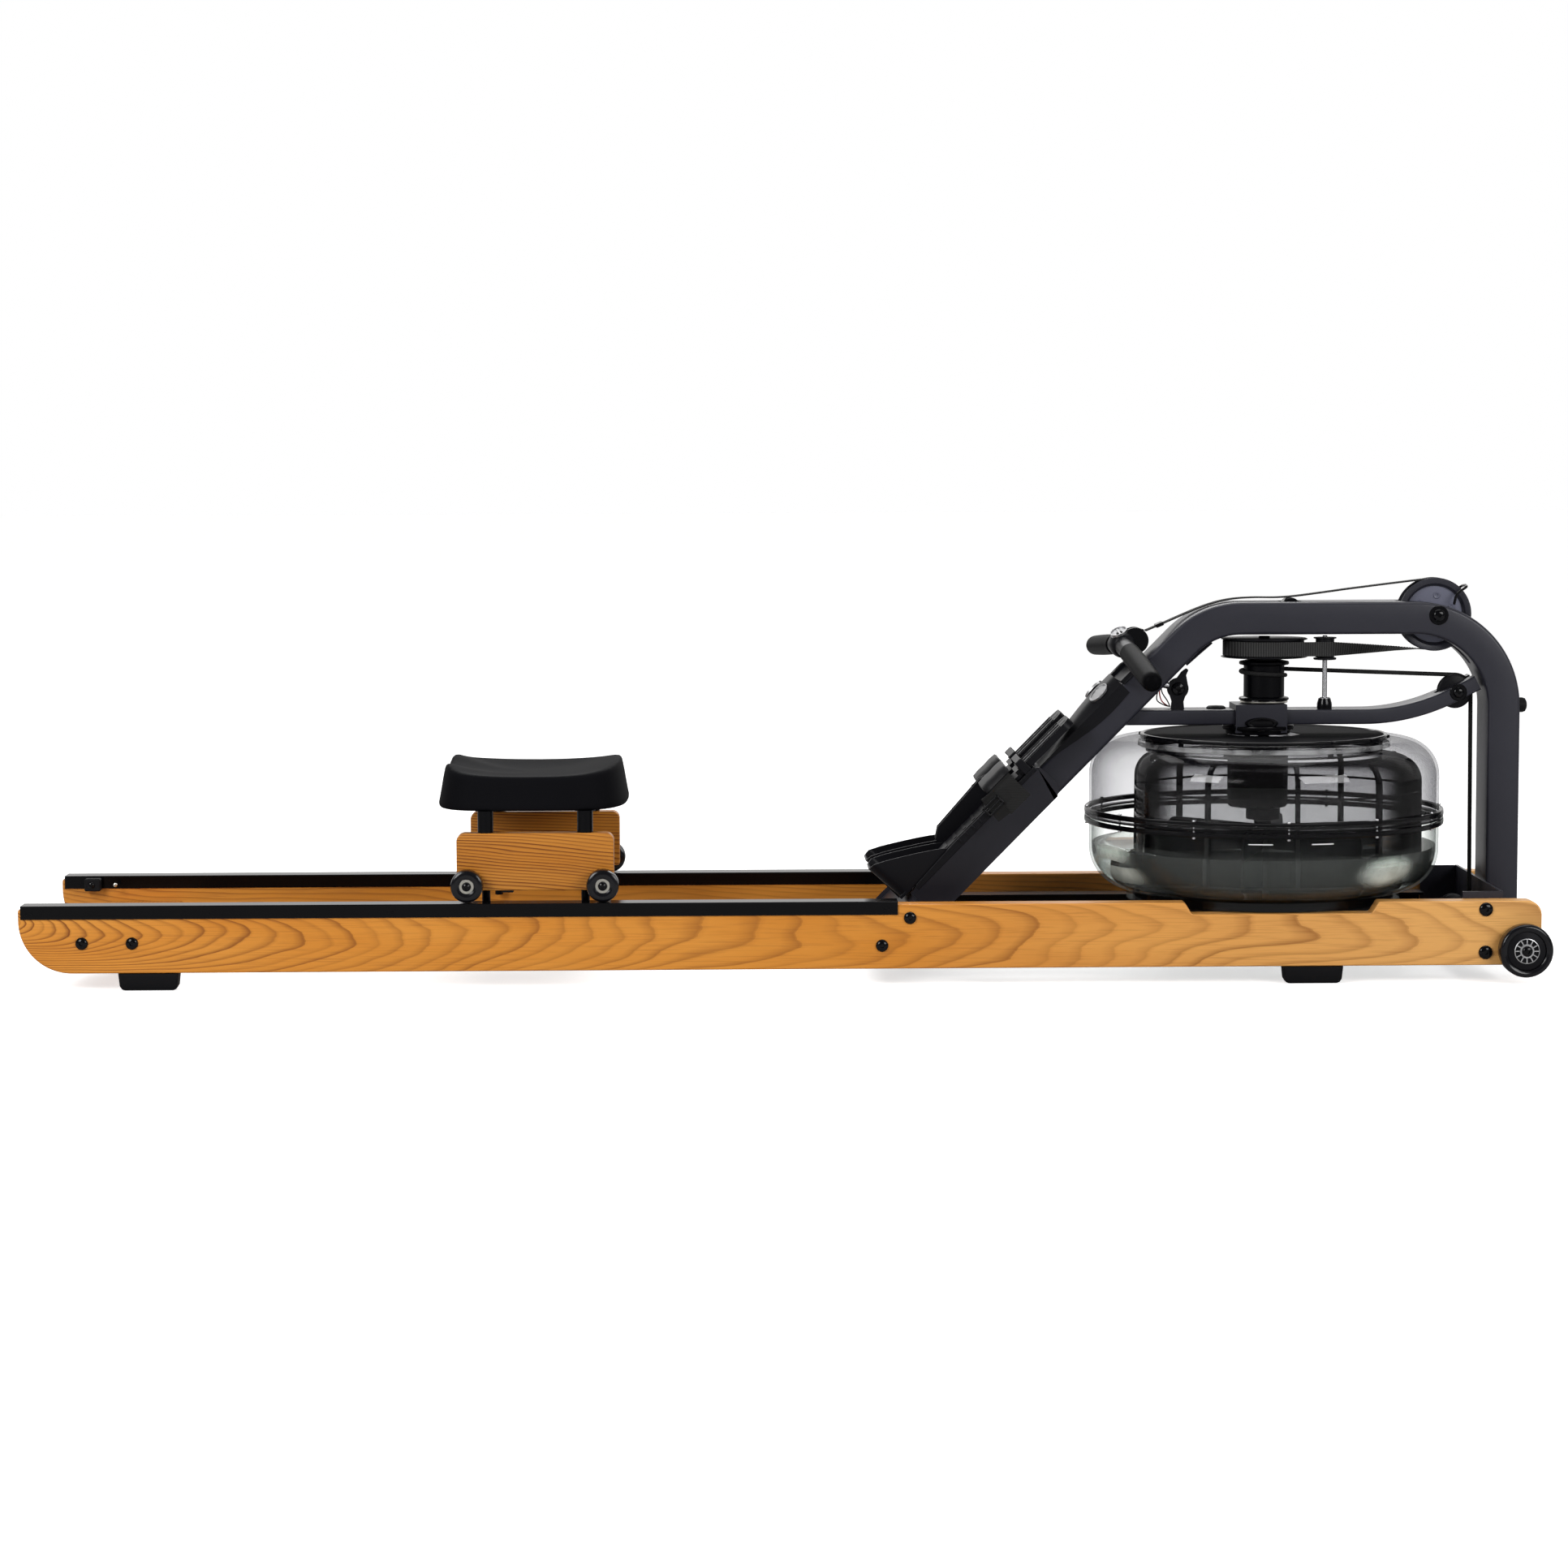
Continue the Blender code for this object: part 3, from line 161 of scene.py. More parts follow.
def make_stage():
    floor_mesh = bpy.data.meshes.new("floor")
    bm = bmesh.new()
    bmesh.ops.create_grid(bm, x_segments=1, y_segments=1, size=30.0)
    bm.to_mesh(floor_mesh)
    bm.free()
    floor = bpy.data.objects.new("floor", floor_mesh)
    floor.location.z = -0.0005
    bpy.context.scene.collection.objects.link(floor)
    made, n, shader = shader_of("floor")
    seen = seen_directly(n)
    n.put(shader.inputs["Base Color"], n.mix(seen, (0.5, 0.5, 0.5, 1), (0.9, 0.9, 0.9, 1)))
    shader.inputs["Roughness"].default_value = 0.9
    shader.inputs["Specular IOR Level"].default_value = 0.0
    shader.inputs["Emission Color"].default_value = (1, 1, 1, 1)
    n.put(shader.inputs["Emission Strength"], n.times(seen, 0.62))
    floor_mesh.materials.append(made)

    world = bpy.data.worlds.new("studio")
    world.use_nodes = True
    bpy.context.scene.world = world
    tree = world.node_tree
    tree.nodes.clear()
    n = Nodes(tree)
    seen = n.add("ShaderNodeBackground", {"Color": (1, 1, 1, 1), "Strength": 1.0})
    way = n.add("ShaderNodeTexCoord").outputs["Generated"]
    depth = n.add("ShaderNodeSeparateXYZ", {"Vector": way}).outputs["Y"]
    behind = n.add(
        "ShaderNodeMapRange", {0: depth, 1: -0.55, 2: 0.75, 3: 0.1, 4: 0.85},
        interpolation_type="SMOOTHSTEP",
    )
    lit = n.add("ShaderNodeBackground", {"Color": (1.0, 0.99, 0.98, 1), "Strength": behind.outputs[0]})
    both = n.add("ShaderNodeMixShader", {0: seen_directly(n), 1: lit.outputs[0], 2: seen.outputs[0]})
    out = n.add("ShaderNodeOutputWorld")
    tree.links.new(both.outputs[0], out.inputs[0])


def softbox(name, at, target, width, height, watts):
    data = bpy.data.lights.new(name, "AREA")
    data.shape = "RECTANGLE"
    data.size, data.size_y = width, height
    data.energy = watts
    light = bpy.data.objects.new(name, data)
    light.location = at
    light.rotation_euler = (Vector(target) - Vector(at)).to_track_quat("-Z", "Y").to_euler()
    bpy.context.scene.collection.objects.link(light)


make_stage()
softbox("left", (-2.165, -2.73, 1.78), (0.565, -0.22, 0.285), 1.4, 1.5, 82)
softbox("right", (2.85, -3.28, 1.78), (0.73, -0.24, 0.285), 2.3, 1.5, 92)
softbox("top", (0.2, 0.2, 3.0), (0.1, 0, 0), 3.4, 1.4, 40)
softbox("back", (0.3, 3.0, 2.2), (0, 0, 0.2), 2.6, 1.0, 34)

# Materials ----------------------------------------------------------------------------------------


def place(n):
    return n.add("ShaderNodeTexCoord").outputs["Object"]


def noise(n, vector, scale, detail=2.0, roughness=0.5):
    node = n.add(
        "ShaderNodeTexNoise",
        {"Vector": vector, "Scale": scale, "Detail": detail, "Roughness": roughness},
    )
    return node.outputs["Fac"]


def bump(n, shader, height, strength, distance):
    node = n.add("ShaderNodeBump", {"Height": height, "Strength": strength, "Distance": distance})
    n.put(shader.inputs["Normal"], node.outputs[0])


def coating(name, colour, light, roughness, grain, depth, specular=0.3, spread=0.08):
    """A coating or plastic of two close tones mottled softly, with a fine grain in roughness and bump."""
    made, n, shader = shader_of(name)
    at = place(n)
    mottle = noise(n, at, 9.0, 3.0)
    fine = noise(n, at, grain, 3.0, 0.6)
    tone = n.plus(n.times(fine, 0.45), n.times(mottle, 0.55), True)
    n.put(shader.inputs["Base Color"], n.mix(tone, (*colour, 1), (*light, 1)))
    low = n.times(fine, spread)
    n.put(shader.inputs["Roughness"], n.plus(low, roughness - spread / 2, True))
    shader.inputs["Specular IOR Level"].default_value = specular
    bump(n, shader, fine, 0.35, depth)
    return made


def metal(name, colour, roughness, grain_scale=(1, 1, 1), scale=900.0):
    made, n, shader = shader_of(name)
    at = n.add("ShaderNodeMapping", {"Vector": place(n), "Scale": grain_scale}).outputs[0]
    brush = noise(n, at, scale, 4.0, 0.6)
    dark = tuple(c * 0.72 for c in colour)
    n.put(shader.inputs["Base Color"], n.mix(brush, (*dark, 1), (*colour, 1)))
    shader.inputs["Metallic"].default_value = 1.0
    n.put(shader.inputs["Roughness"], n.plus(n.times(brush, 0.14), roughness - 0.07, True))
    bump(n, shader, brush, 0.2, 0.0002)
    return made


def wood(name, depth, rise, middle, pitch, tone=1.0, lean=0.0, crown=0.0, contrast=1.0, crossways=False):
    """Flat-sawn ash. The growth rings are round an axis behind the board; depth and rise say how
    far behind it lies and how fast that grows along X, which makes the arches of the grain. crown
    lifts their points near X 0, and contrast darkens the lines. crossways turns the grain along Y."""
    made, n, shader = shader_of(name)
    at = place(n)
    if crossways:
        swap = {"Vector": at, "Rotation": (0, 0, pi / 2), "Location": (0.35, 0, 0)}
        at = n.add("ShaderNodeMapping", swap).outputs[0]
    x, y, z = n.add("ShaderNodeSeparateXYZ", {"Vector": at}).outputs
    slow = n.scaled((x, y, z), (1, 3.0, 5.0))
    drift = n.math("SUBTRACT", noise(n, slow, 1.6), 0.5)
    elsewhere = n.add("ShaderNodeVectorMath", {0: slow, 1: (7.3, 1.1, 4.2)}, operation="ADD").outputs[0]
    sway = n.math("SUBTRACT", noise(n, elsewhere, 2.6), 0.5)
    run = n.math("POWER", n.math("MAXIMUM", x, 0.0005), 0.62)
    back = n.plus(n.times(run, rise), depth)
    back = n.plus(back, n.times(drift, 0.034))
    across = n.plus(n.times(n.math("ABSOLUTE", y), -1.0), 0.1925)
    across = n.plus(across, back)
    up = n.math("SUBTRACT", z, middle)
    up = n.math("SUBTRACT", up, n.times(n.math("POWER", 0.004, x), crown))
    up = n.plus(up, n.times(x, lean))
    up = n.plus(up, n.times(sway, 0.034))
    radius = n.math("SQRT", n.plus(n.times(across, across), n.times(up, up)))
    wobble = noise(n, n.scaled((x, y, z), (2.2, 90.0, 90.0)), 1.0, 3.0, 0.6)
    radius = n.plus(radius, n.times(wobble, 0.0012))
    rings = n.math("FRACT", n.math("DIVIDE", radius, pitch))
    which = n.math("FLOOR", n.math("DIVIDE", radius, pitch))
    vary = n.add("ShaderNodeTexWhiteNoise", {"W": which}, noise_dimensions="1D").outputs["Value"]
    line = n.ramp(rings, [(0.0, 0.3), (0.12, 0.0), (0.58, 0.1), (0.82, 0.62), (0.94, 1.0), (1.0, 0.6)])
    fade = n.plus(n.times(n.math("POWER", 0.05, x), 0.45), 0.55)
    line = n.times(line, n.plus(n.times(vary, 0.8), 0.42))
    line = n.times(n.times(line, fade), contrast, True)
    pores = noise(n, n.scaled((x, y, z), (16.0, 620.0, 620.0)), 1.0)
    pores = n.times(n.math("SUBTRACT", pores, 0.5, True), 2.4, True)
    broad = noise(n, slow, 3.1)
    shades = (0.68, 0.278, 0.04), (0.58, 0.208, 0.02), (0.76, 0.41, 0.13), (0.21, 0.058, 0.006)
    light, mid, pale, dark = [(*(part * tone for part in shade), 1) for shade in shades]
    ground = n.mix(n.ramp(broad, [(0.32, 0), (0.68, 1)]), mid, light)
    ground = n.mix(n.times(n.math("SUBTRACT", x, 1.2, True), 1.1), ground, pale)
    colour = n.mix(line, ground, dark)
    colour = n.mix(n.times(pores, 0.46), colour, dark)
    n.put(shader.inputs["Base Color"], colour)
    n.put(shader.inputs["Roughness"], n.plus(n.times(pores, 0.25), 0.36, True))
    shader.inputs["Specular IOR Level"].default_value = 0.28
    shader.inputs["Coat Weight"].default_value = 0.06
    shader.inputs["Coat Roughness"].default_value = 0.25
    height = n.times(n.plus(pores, line), -1.0)
    bump(n, shader, height, 0.25, 0.0003)
    return made


def webbing(name, colour, light, along):
    """Woven strap. along is the slope of its threads."""
    made, n, shader = shader_of(name)
    at = n.add("ShaderNodeMapping", {"Vector": place(n), "Rotation": (0, along, 0)}).outputs[0]
    warp = n.add(
        "ShaderNodeTexWave", {"Vector": at, "Scale": 130.0, "Distortion": 0.4}, bands_direction="X",
    )
    weft = n.add(
        "ShaderNodeTexWave", {"Vector": at, "Scale": 110.0, "Distortion": 0.4}, bands_direction="Y",
    )
    weave = n.times(warp.outputs["Fac"], weft.outputs["Fac"])
    worn = noise(n, at, 40.0, 3.0)
    tone = n.plus(n.times(weave, 0.6), n.times(worn, 0.4), True)
    n.put(shader.inputs["Base Color"], n.mix(tone, (*colour, 1), (*light, 1)))
    shader.inputs["Roughness"].default_value = 0.8
    shader.inputs["Specular IOR Level"].default_value = 0.2
    bump(n, shader, weave, 0.5, 0.0004)
    return made


def bar_steel():
    """Black base bar whose upward faces are painted a paler grey, as painted light from above."""
    made, n, shader = shader_of("base_bar_steel")
    at = place(n)
    fine = noise(n, at, 900.0, 3.0, 0.6)
    upward = n.add(
        "ShaderNodeSeparateXYZ", {"Vector": n.add("ShaderNodeNewGeometry").outputs["Normal"]},
    ).outputs["Z"]
    # Painted light: faces that look up are painted paler grey, as if lit from above.
    painted_top_light = n.ramp(upward, [(0.55, 0.0), (0.8, 1.0)])
    pale = n.mix(fine, (0.085, 0.085, 0.09, 1), (0.14, 0.14, 0.145, 1))
    n.put(shader.inputs["Base Color"], n.mix(painted_top_light, (0.0025, 0.0025, 0.003, 1), pale))
    n.put(shader.inputs["Roughness"], n.plus(n.times(fine, 0.08), 0.14, True))
    shader.inputs["Specular IOR Level"].default_value = 0.2
    bump(n, shader, fine, 0.35, 0.00003)
    return made


def belt_rubber():
    """Black rubber of the ribbed drive belt, with a fine rib every 3.4 mm along the machine."""
    made, n, shader = shader_of("belt_rubber")
    at = place(n)
    rib = n.add(
        "ShaderNodeTexWave", {"Vector": at, "Scale": 92.4, "Distortion": 0.0}, bands_direction="X",
    ).outputs["Fac"]
    worn = noise(n, at, 40.0, 3.0)
    tone = n.plus(n.times(rib, 0.75), n.times(worn, 0.25), True)
    n.put(shader.inputs["Base Color"], n.mix(tone, (0.003, 0.003, 0.003, 1), (0.04, 0.04, 0.04, 1)))
    shader.inputs["Roughness"].default_value = 0.6
    shader.inputs["Specular IOR Level"].default_value = 0.2
    bump(n, shader, rib, 0.6, 0.0006)
    return made


def see_through(n, shader, cover, tint):
    """Lets the light through, tinted, where the shader doesn't cover it."""
    through = n.add("ShaderNodeBsdfTransparent", {"Color": tint})
    both = n.add("ShaderNodeMixShader", {0: cover, 1: through.outputs[0], 2: shader.outputs[0]})
    n.put(n.tree.nodes["Material Output"].inputs[0], both.outputs[0])


def clear(name, face, edge, share, index, roughness=0.03, begin=0.35, end=1.0):
    """Clear plastic as a see-through tint under a black gloss of this share and refractive index.
    begin and end say how far the surface has turned away where the tint goes from face to edge."""
    made, n, shader = shader_of(name)
    haze = noise(n, place(n), 14.0, 3.0)
    facing = n.add("ShaderNodeLayerWeight", {"Blend": 0.5}).outputs["Facing"]
    tint = n.ramp(facing, [(begin, face), (end, edge)], "EASE")
    shader.inputs["Base Color"].default_value = (0.006, 0.006, 0.007, 1)
    n.put(shader.inputs["Roughness"], n.plus(n.times(haze, 0.03), roughness))
    shader.inputs["IOR"].default_value = index
    cover = n.plus(n.times(n.math("POWER", facing, 3.0), 0.22), share, True)
    see_through(n, shader, cover, tint)
    return made


def rim_highlight_material():
    """A painted highlight: pale patchy colour, partly see-through, standing for the light reflected in the
    clear step below the tank's top rim.
    """
    made, n, shader = shader_of("painted_rim_highlight")
    patches = noise(n, place(n), 22.0)
    n.put(shader.inputs["Base Color"], n.mix(patches, (0.6, 0.61, 0.6, 1), (0.9, 0.91, 0.9, 1)))
    shader.inputs["Roughness"].default_value = 0.3
    cover = n.ramp(patches, [(0.4, 0.1), (0.6, 0.95)])
    see_through(n, shader, cover, (0.9, 0.9, 0.9, 1))
    return made


def painted_highlight_material():
    """Painted highlight: a soft pale patch whose colour stands for light reflected off the wet wall of the
    bowl, fading out round the middle of its piece.
    """
    made, n, shader = shader_of("painted_bowl_highlight")
    at = place(n)
    patches = noise(n, at, 30.0, 3.0, 0.6)
    spread = n.add(
        "ShaderNodeMapping", {"Vector": at, "Scale": (1 / 0.066, 1 / 0.066, 1 / 0.026)},
    ).outputs[0]
    reach = n.add("ShaderNodeVectorMath", {0: spread}, operation="LENGTH").outputs["Value"]
    n.put(shader.inputs["Base Color"], n.mix(patches, (0.5, 0.54, 0.5, 1), (0.88, 0.92, 0.86, 1)))
    shader.inputs["Roughness"].default_value = 0.3
    fade = n.ramp(reach, [(0.35, 0.95), (1.0, 0.0)], "EASE")
    uneven = n.plus(n.times(patches, 0.7), 0.55, True)
    see_through(n, shader, n.times(fade, uneven, True), (0.98, 0.99, 0.98, 1))
    return made


def water_material():
    made, n, shader = shader_of("water")
    ripple = noise(n, place(n), 16.0)
    shader.inputs["Base Color"].default_value = (0.8, 0.85, 0.82, 1)
    shader.inputs["Transmission Weight"].default_value = 0.945
    shader.inputs["IOR"].default_value = 1.14
    n.put(shader.inputs["Roughness"], n.times(ripple, 0.03))
    bump(n, shader, ripple, 0.08, 0.002)
    return made


LOOK = {
    "rail_near": wood("ash_near_rail", 0.001, 0.112, 0.07, 0.0037, crown=0.026),
    # The far rail has its own grain. Its tone of 0.92 darkens it as painted shade, standing for the shade
    # on its inner face.
    "rail_far": wood("ash_far_rail", 0.03, 0.04, 0.03, 0.0042, 0.92, 0.01),
    "block": wood("ash_seat_block", 0.03, 0.004, 0.045, 0.0042, 0.84, 0.07, contrast=1.5),
    "beam": wood("ash_crossbeam", 0.05, 0.02, 0.02, 0.005, 0.9, crossways=True),
    "powder": coating(
        "navy_black_powder_coat", (0.014, 0.014, 0.02), (0.026, 0.026, 0.036), 0.36, 1500.0, 0.0001, 0.3,
    ),
    "track": coating(
        "black_track_steel", (0.001, 0.001, 0.0015), (0.0025, 0.0025, 0.003), 0.16, 1200.0, 0.00003, 0.12,
    ),
    "bar": bar_steel(),
    "plastic": coating(
        "black_moulded_plastic", (0.003, 0.003, 0.004), (0.007, 0.007, 0.009), 0.36, 1100.0, 0.00012, 0.12,
    ),
    "gloss": coating(
        "black_gloss_plastic", (0.0015, 0.0015, 0.002), (0.003, 0.003, 0.004), 0.13, 500.0, 0.00003, 0.2,
        0.05,
    ),
    "post": coating(
        "gloss_black_post", (0.001, 0.001, 0.0015), (0.002, 0.002, 0.003), 0.2, 600.0, 0.00003, 0.11,
    ),
    "matt": coating(
        "matt_black_plastic", (0.003, 0.003, 0.004), (0.006, 0.006, 0.007), 0.7, 900.0, 0.0001, 0.02,
    ),
    "rubber": coating(
        "black_rubber", (0.005, 0.005, 0.006), (0.009, 0.009, 0.01), 0.55, 800.0, 0.00015, 0.09,
    ),
    "tyre": coating(
        "gloss_wheel_rubber", (0.003, 0.003, 0.004), (0.006, 0.006, 0.008), 0.17, 500.0, 0.00003, 0.28,
        0.05,
    ),
    "seat": coating(
        "seat_foam_skin", (0.003, 0.003, 0.004), (0.006, 0.006, 0.007), 0.62, 650.0, 0.0002, 0.016,
    ),
    "grip": coating(
        "grip_foam", (0.0015, 0.0015, 0.002), (0.0035, 0.0035, 0.004), 0.46, 900.0, 0.0002, 0.016,
    ),
    "pulley": coating(
        "blue_grey_pulley_plastic", (0.085, 0.088, 0.125), (0.15, 0.155, 0.21), 0.34, 700.0, 0.00015, 0.4,
    ),
    "pad": coating("strap_pad", (0.005, 0.005, 0.006), (0.011, 0.011, 0.012), 0.42, 500.0, 0.0003, 0.12),
    "steel": metal("bright_steel", (0.66, 0.66, 0.68), 0.26),
    "zinc": metal("zinc_bearing_steel", (0.6, 0.58, 0.52), 0.34),
    "badge": metal("badge_silver", (0.62, 0.62, 0.63), 0.38, (1, 12, 1), 300.0),
    "webbing": webbing("black_webbing", (0.004, 0.004, 0.004), (0.02, 0.02, 0.02), SLOPE),
    "belt": belt_rubber(),
    "smoky": clear("smoky_clear_plastic", (0.93, 0.93, 0.935), (0.74, 0.74, 0.75), 0.08, 2.4),
    "clear": clear("clear_plastic", (0.985, 0.99, 0.985), (0.66, 0.68, 0.67), 0.03, 2.0, 0.02, 0.5),
    "smoked": clear(
        "smoked_plastic", (0.62, 0.62, 0.63), (0.015, 0.015, 0.018), 0.1, 1.6, 0.06, 0.24, 0.56,
    ),
    "bowl_highlight": painted_highlight_material(),
    "rim_highlight": rim_highlight_material(),
    "water": water_material(),
    "white": coating("printed_white", (0.7, 0.7, 0.7), (0.85, 0.85, 0.85), 0.5, 900.0, 0.00002),
    "red": coating("red_wire_sheath", (0.35, 0.01, 0.01), (0.45, 0.02, 0.02), 0.4, 900.0, 0.00005),
}

# Shape helpers ------------------------------------------------------------------------------------


def object_of(name, bm):
    """A mesh with its faces turned outwards, as an object in the scene."""
    bmesh.ops.recalc_face_normals(bm, faces=bm.faces)
    mesh = bpy.data.meshes.new(name)
    bm.to_mesh(mesh)
    bm.free()
    obj = bpy.data.objects.new(name, mesh)
    bpy.context.scene.collection.objects.link(obj)
    return obj


def add(
    name, bm, look, body="base", stands_for=(), at=(0, 0, 0), turn=(0, 0, 0), bevel=0.0,
    segments=2, sharp=35.0,
):
    """A piece of the object, drawn with X from the rear end, shaded smooth and put on its body. A
    list of meshes becomes one piece."""
    obj = object_of(name, merged(*bm) if isinstance(bm, list) else bm)
    mesh = obj.data
    obj.location = (at[0] + REAR_END, at[1], at[2])
    obj.rotation_euler = turn
    mesh.shade_smooth()
    if bevel:
        soften(obj, bevel, segments)
    else:
        mesh.set_sharp_from_angle(angle=radians(sharp))
    mesh.materials.append(LOOK[look])
    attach(obj, body)
    if stands_for:
        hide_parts(*stands_for)
    return obj


def soften(obj, width, segments):
    modifier = obj.modifiers.new("edges", "BEVEL")
    modifier.width = width
    modifier.segments = segments
    modifier.limit_method = "ANGLE"
    modifier.angle_limit = radians(32)
    modifier.harden_normals = True
    modifier.miter_outer = "MITER_ARC"


def merged(*meshes):
    """One bmesh from several."""
    whole = bmesh.new()
    for bm in meshes:
        mesh = bpy.data.meshes.new("part")
        bm.to_mesh(mesh)
        bm.free()
        whole.from_mesh(mesh)
        bpy.data.meshes.remove(mesh)
    return whole


def moved(bm, at=(0, 0, 0), turn=(0, 0, 0)):
    spin = Matrix.Rotation(turn[2], 4, "Z") @ Matrix.Rotation(turn[1], 4, "Y")
    spin = spin @ Matrix.Rotation(turn[0], 4, "X")
    bmesh.ops.transform(bm, matrix=Matrix.Translation(at) @ spin, verts=bm.verts)
    return bm


def box(x0, x1, y0, y1, z0, z1):
    bm = bmesh.new()
    size = Matrix.Diagonal((abs(x1 - x0), abs(y1 - y0), abs(z1 - z0), 1.0))
    middle = Matrix.Translation(((x0 + x1) / 2, (y0 + y1) / 2, (z0 + z1) / 2))
    bmesh.ops.create_cube(bm, size=1.0, matrix=middle @ size)
    return bm


def bridge(bm, first, second, closed=True):
    """Faces between two rings of points."""
    count = len(first)
    for i in range(count if closed else count - 1):
        j = (i + 1) % count
        bm.faces.new((first[i], first[j], second[j], second[i]))


def prism(outline, low, high, axis="Y"):
    """A solid with this outline in X and Z, or in X and Y where axis is Z."""
    bm = bmesh.new()
    ends = []
    for level in (low, high):
        ends.append([bm.verts.new((a, level, b) if axis == "Y" else (a, b, level)) for a, b in outline])
    bm.faces.new(ends[0])
    bm.faces.new(reversed(ends[1]))
    bridge(bm, *ends)
    return bm


def turned(profile, axis="Z", segments=72, teeth=None, skin=False):
    """A solid of revolution from closed (radius, along) points. teeth(index, radius) may vary the
    radius. A skin is left open instead, for a wall drawn as one surface."""
    bm = bmesh.new()
    rings = []
    for radius, along in profile:
        ring = []
        for i in range(segments if radius > 0 else 1):
            angle = 2 * pi * i / segments
            r = teeth(i, radius) if teeth and radius > 0 else radius
            a, b = r * cos(angle), r * sin(angle)
            ring.append(bm.verts.new((a, b, along) if axis == "Z" else (a, along, b)))
        rings.append(ring)
    closed = profile[0][0] > 0 and profile[-1][0] > 0 and not skin
    pairs = list(zip(rings, rings[1:])) + ([(rings[-1], rings[0])] if closed else [])
    for first, second in pairs:
        if len(first) == len(second) > 1:
            bridge(bm, first, second)
        for i in range(segments if len(first) != len(second) else 0):
            j = (i + 1) % segments
            if len(first) == 1:
                bm.faces.new((first[0], second[i], second[j]))
            else:
                bm.faces.new((first[i], first[j], second[0]))
    return bm


def rod(radius, low, high, segments=24, axis="Y"):
    return turned([(0, low), (radius, low), (radius, high), (0, high)], axis, segments)


def both_ways(half):
    """A closed profile that is the same on both sides of its middle, from the outer half."""
    return [(r, -along) for r, along in half] + [(r, along) for r, along in reversed(half)]


def circle(count):
    """This many angles, evenly round."""
    return [2 * pi * k / count for k in range(count)]


def arc(cx, cz, radius, start, end, steps):
    points = []
    for i in range(steps + 1):
        angle = radians(start + (end - start) * i / steps)
        points.append((cx + radius * cos(angle), cz + radius * sin(angle)))
    return points


def rounded_section(half_y, half_n, corner, steps=4):
    """The outline of a rounded rectangle round the origin."""
    section = []
    for cy, cn, start in ((1, 1, 0), (-1, 1, 90), (-1, -1, 180), (1, -1, 270)):
        section += arc(cy * (half_y - corner), cn * (half_n - corner), corner, start, start + 90, steps)
    return section


def loft(rings, caps=True, closed=True):
    bm = bmesh.new()
    made = [[bm.verts.new(point) for point in ring] for ring in rings]
    if caps:
        bm.faces.new(made[0])
        bm.faces.new(reversed(made[-1]))
    for first, second in zip(made, made[1:]):
        bridge(bm, first, second, closed)
    return bm


X_WAY, Y_WAY, Z_WAY = Vector((1, 0, 0)), Vector((0, 1, 0)), Vector((0, 0, 1))


def headings_of(path):
    """The direction of a path at each of its points."""
    return [(after - before).normalized() for before, after in zip(path[:1] + path, path[1:] + path[-1:])]


def ribbon(path, widths, half_width, thickness, teeth=0.0):
    """A flat belt along path. widths gives the direction across it. teeth is the height of its ribs."""
    rings = []
    for i, (point, along) in enumerate(zip(path, headings_of(path))):
        across = (widths[i] - along * widths[i].dot(along)).normalized()
        up = along.cross(across)
        extra = teeth if i % 4 in (1, 2) else 0.0
        ring = []
        for a, b in ((-1, -1), (1, -1), (1, 1), (-1, 1)):
            rise = b * thickness / 2 + (extra if b < 0 else 0.0)
            ring.append(point + across * a * half_width + up * rise)
        rings.append(ring)
    return loft(rings)


def tube(path, radius, sides):
    """A round bar or cord along a path."""
    rings = []
    guide = Vector((0, 1, 0.001))
    for point, along in zip(path, headings_of(path)):
        across = guide - along * guide.dot(along)
        if across.length < 0.1:
            across = along.orthogonal()
        across.normalize()
        up = along.cross(across)
        rings.append([point + radius * (across * cos(t) + up * sin(t)) for t in circle(sides)])
    return loft(rings)


def smooth_path(points, steps):
    """A Catmull-Rom curve through these points."""
    points = [Vector(p) for p in points]
    made = []
    for i in range(len(points) - 1):
        p0, p1 = points[max(i - 1, 0)], points[i]
        p2, p3 = points[i + 1], points[min(i + 2, len(points) - 1)]
        for k in range(steps):
            t = k / steps
            curve = (2 * p1) + (p2 - p0) * t + (2 * p0 - 5 * p1 + 4 * p2 - p3) * t * t
            made.append(0.5 * (curve + (3 * p1 - 3 * p2 + p3 - p0) * t ** 3))
    made.append(points[-1])
    return made


def span(side, a, b):
    """Y limits a to b on the far side, or their mirror on the near one."""
    return (side * b, side * a) if side < 0 else (a, b)


def slope_point(s, n):
    """X and Z of the point s up the leg's slope and n square to it."""
    x = FOOT_X + s * cos(SLOPE) - n * sin(SLOPE)
    return x, FOOT_Z + s * sin(SLOPE) + n * cos(SLOPE)


def on_slope(name, bm, look, body="base", stands_for=(), bevel=0.0, sharp=35.0):
    """A piece drawn in the leg's own frame: X up along the leg, Z square to its upper face."""
    return add(
        name, bm, look, body, stands_for, (FOOT_X, 0, FOOT_Z), (0, -SLOPE, 0), bevel, sharp=sharp,
    )


def cut(obj, *cutters):
    """Cuts these meshes from obj, once and for all. They are drawn with X from the rear end."""
    for bm in cutters:
        tool = object_of("cutter", bm)
        tool.location.x = REAR_END
        modifier = obj.modifiers.new("cut", "BOOLEAN")
        modifier.object = tool
        modifier.operation = "DIFFERENCE"
        modifier.solver = "EXACT"
        bpy.context.view_layer.update()
        done = bpy.data.meshes.new_from_object(obj.evaluated_get(bpy.context.evaluated_depsgraph_get()))
        obj.modifiers.clear()
        obj.data = done
        bpy.data.objects.remove(tool)
    obj.data.set_sharp_from_angle(angle=radians(35))


def hexed(hole):
    """Makes one ring of a turned shape a hexagon, for a socket or a bolt head."""

    def shape(i, radius):
        if abs(radius - hole) > 1e-6:
            return radius
        angle = 2 * pi * i / 48
        return hole / cos((angle % (pi / 3)) - pi / 6)

    return shape


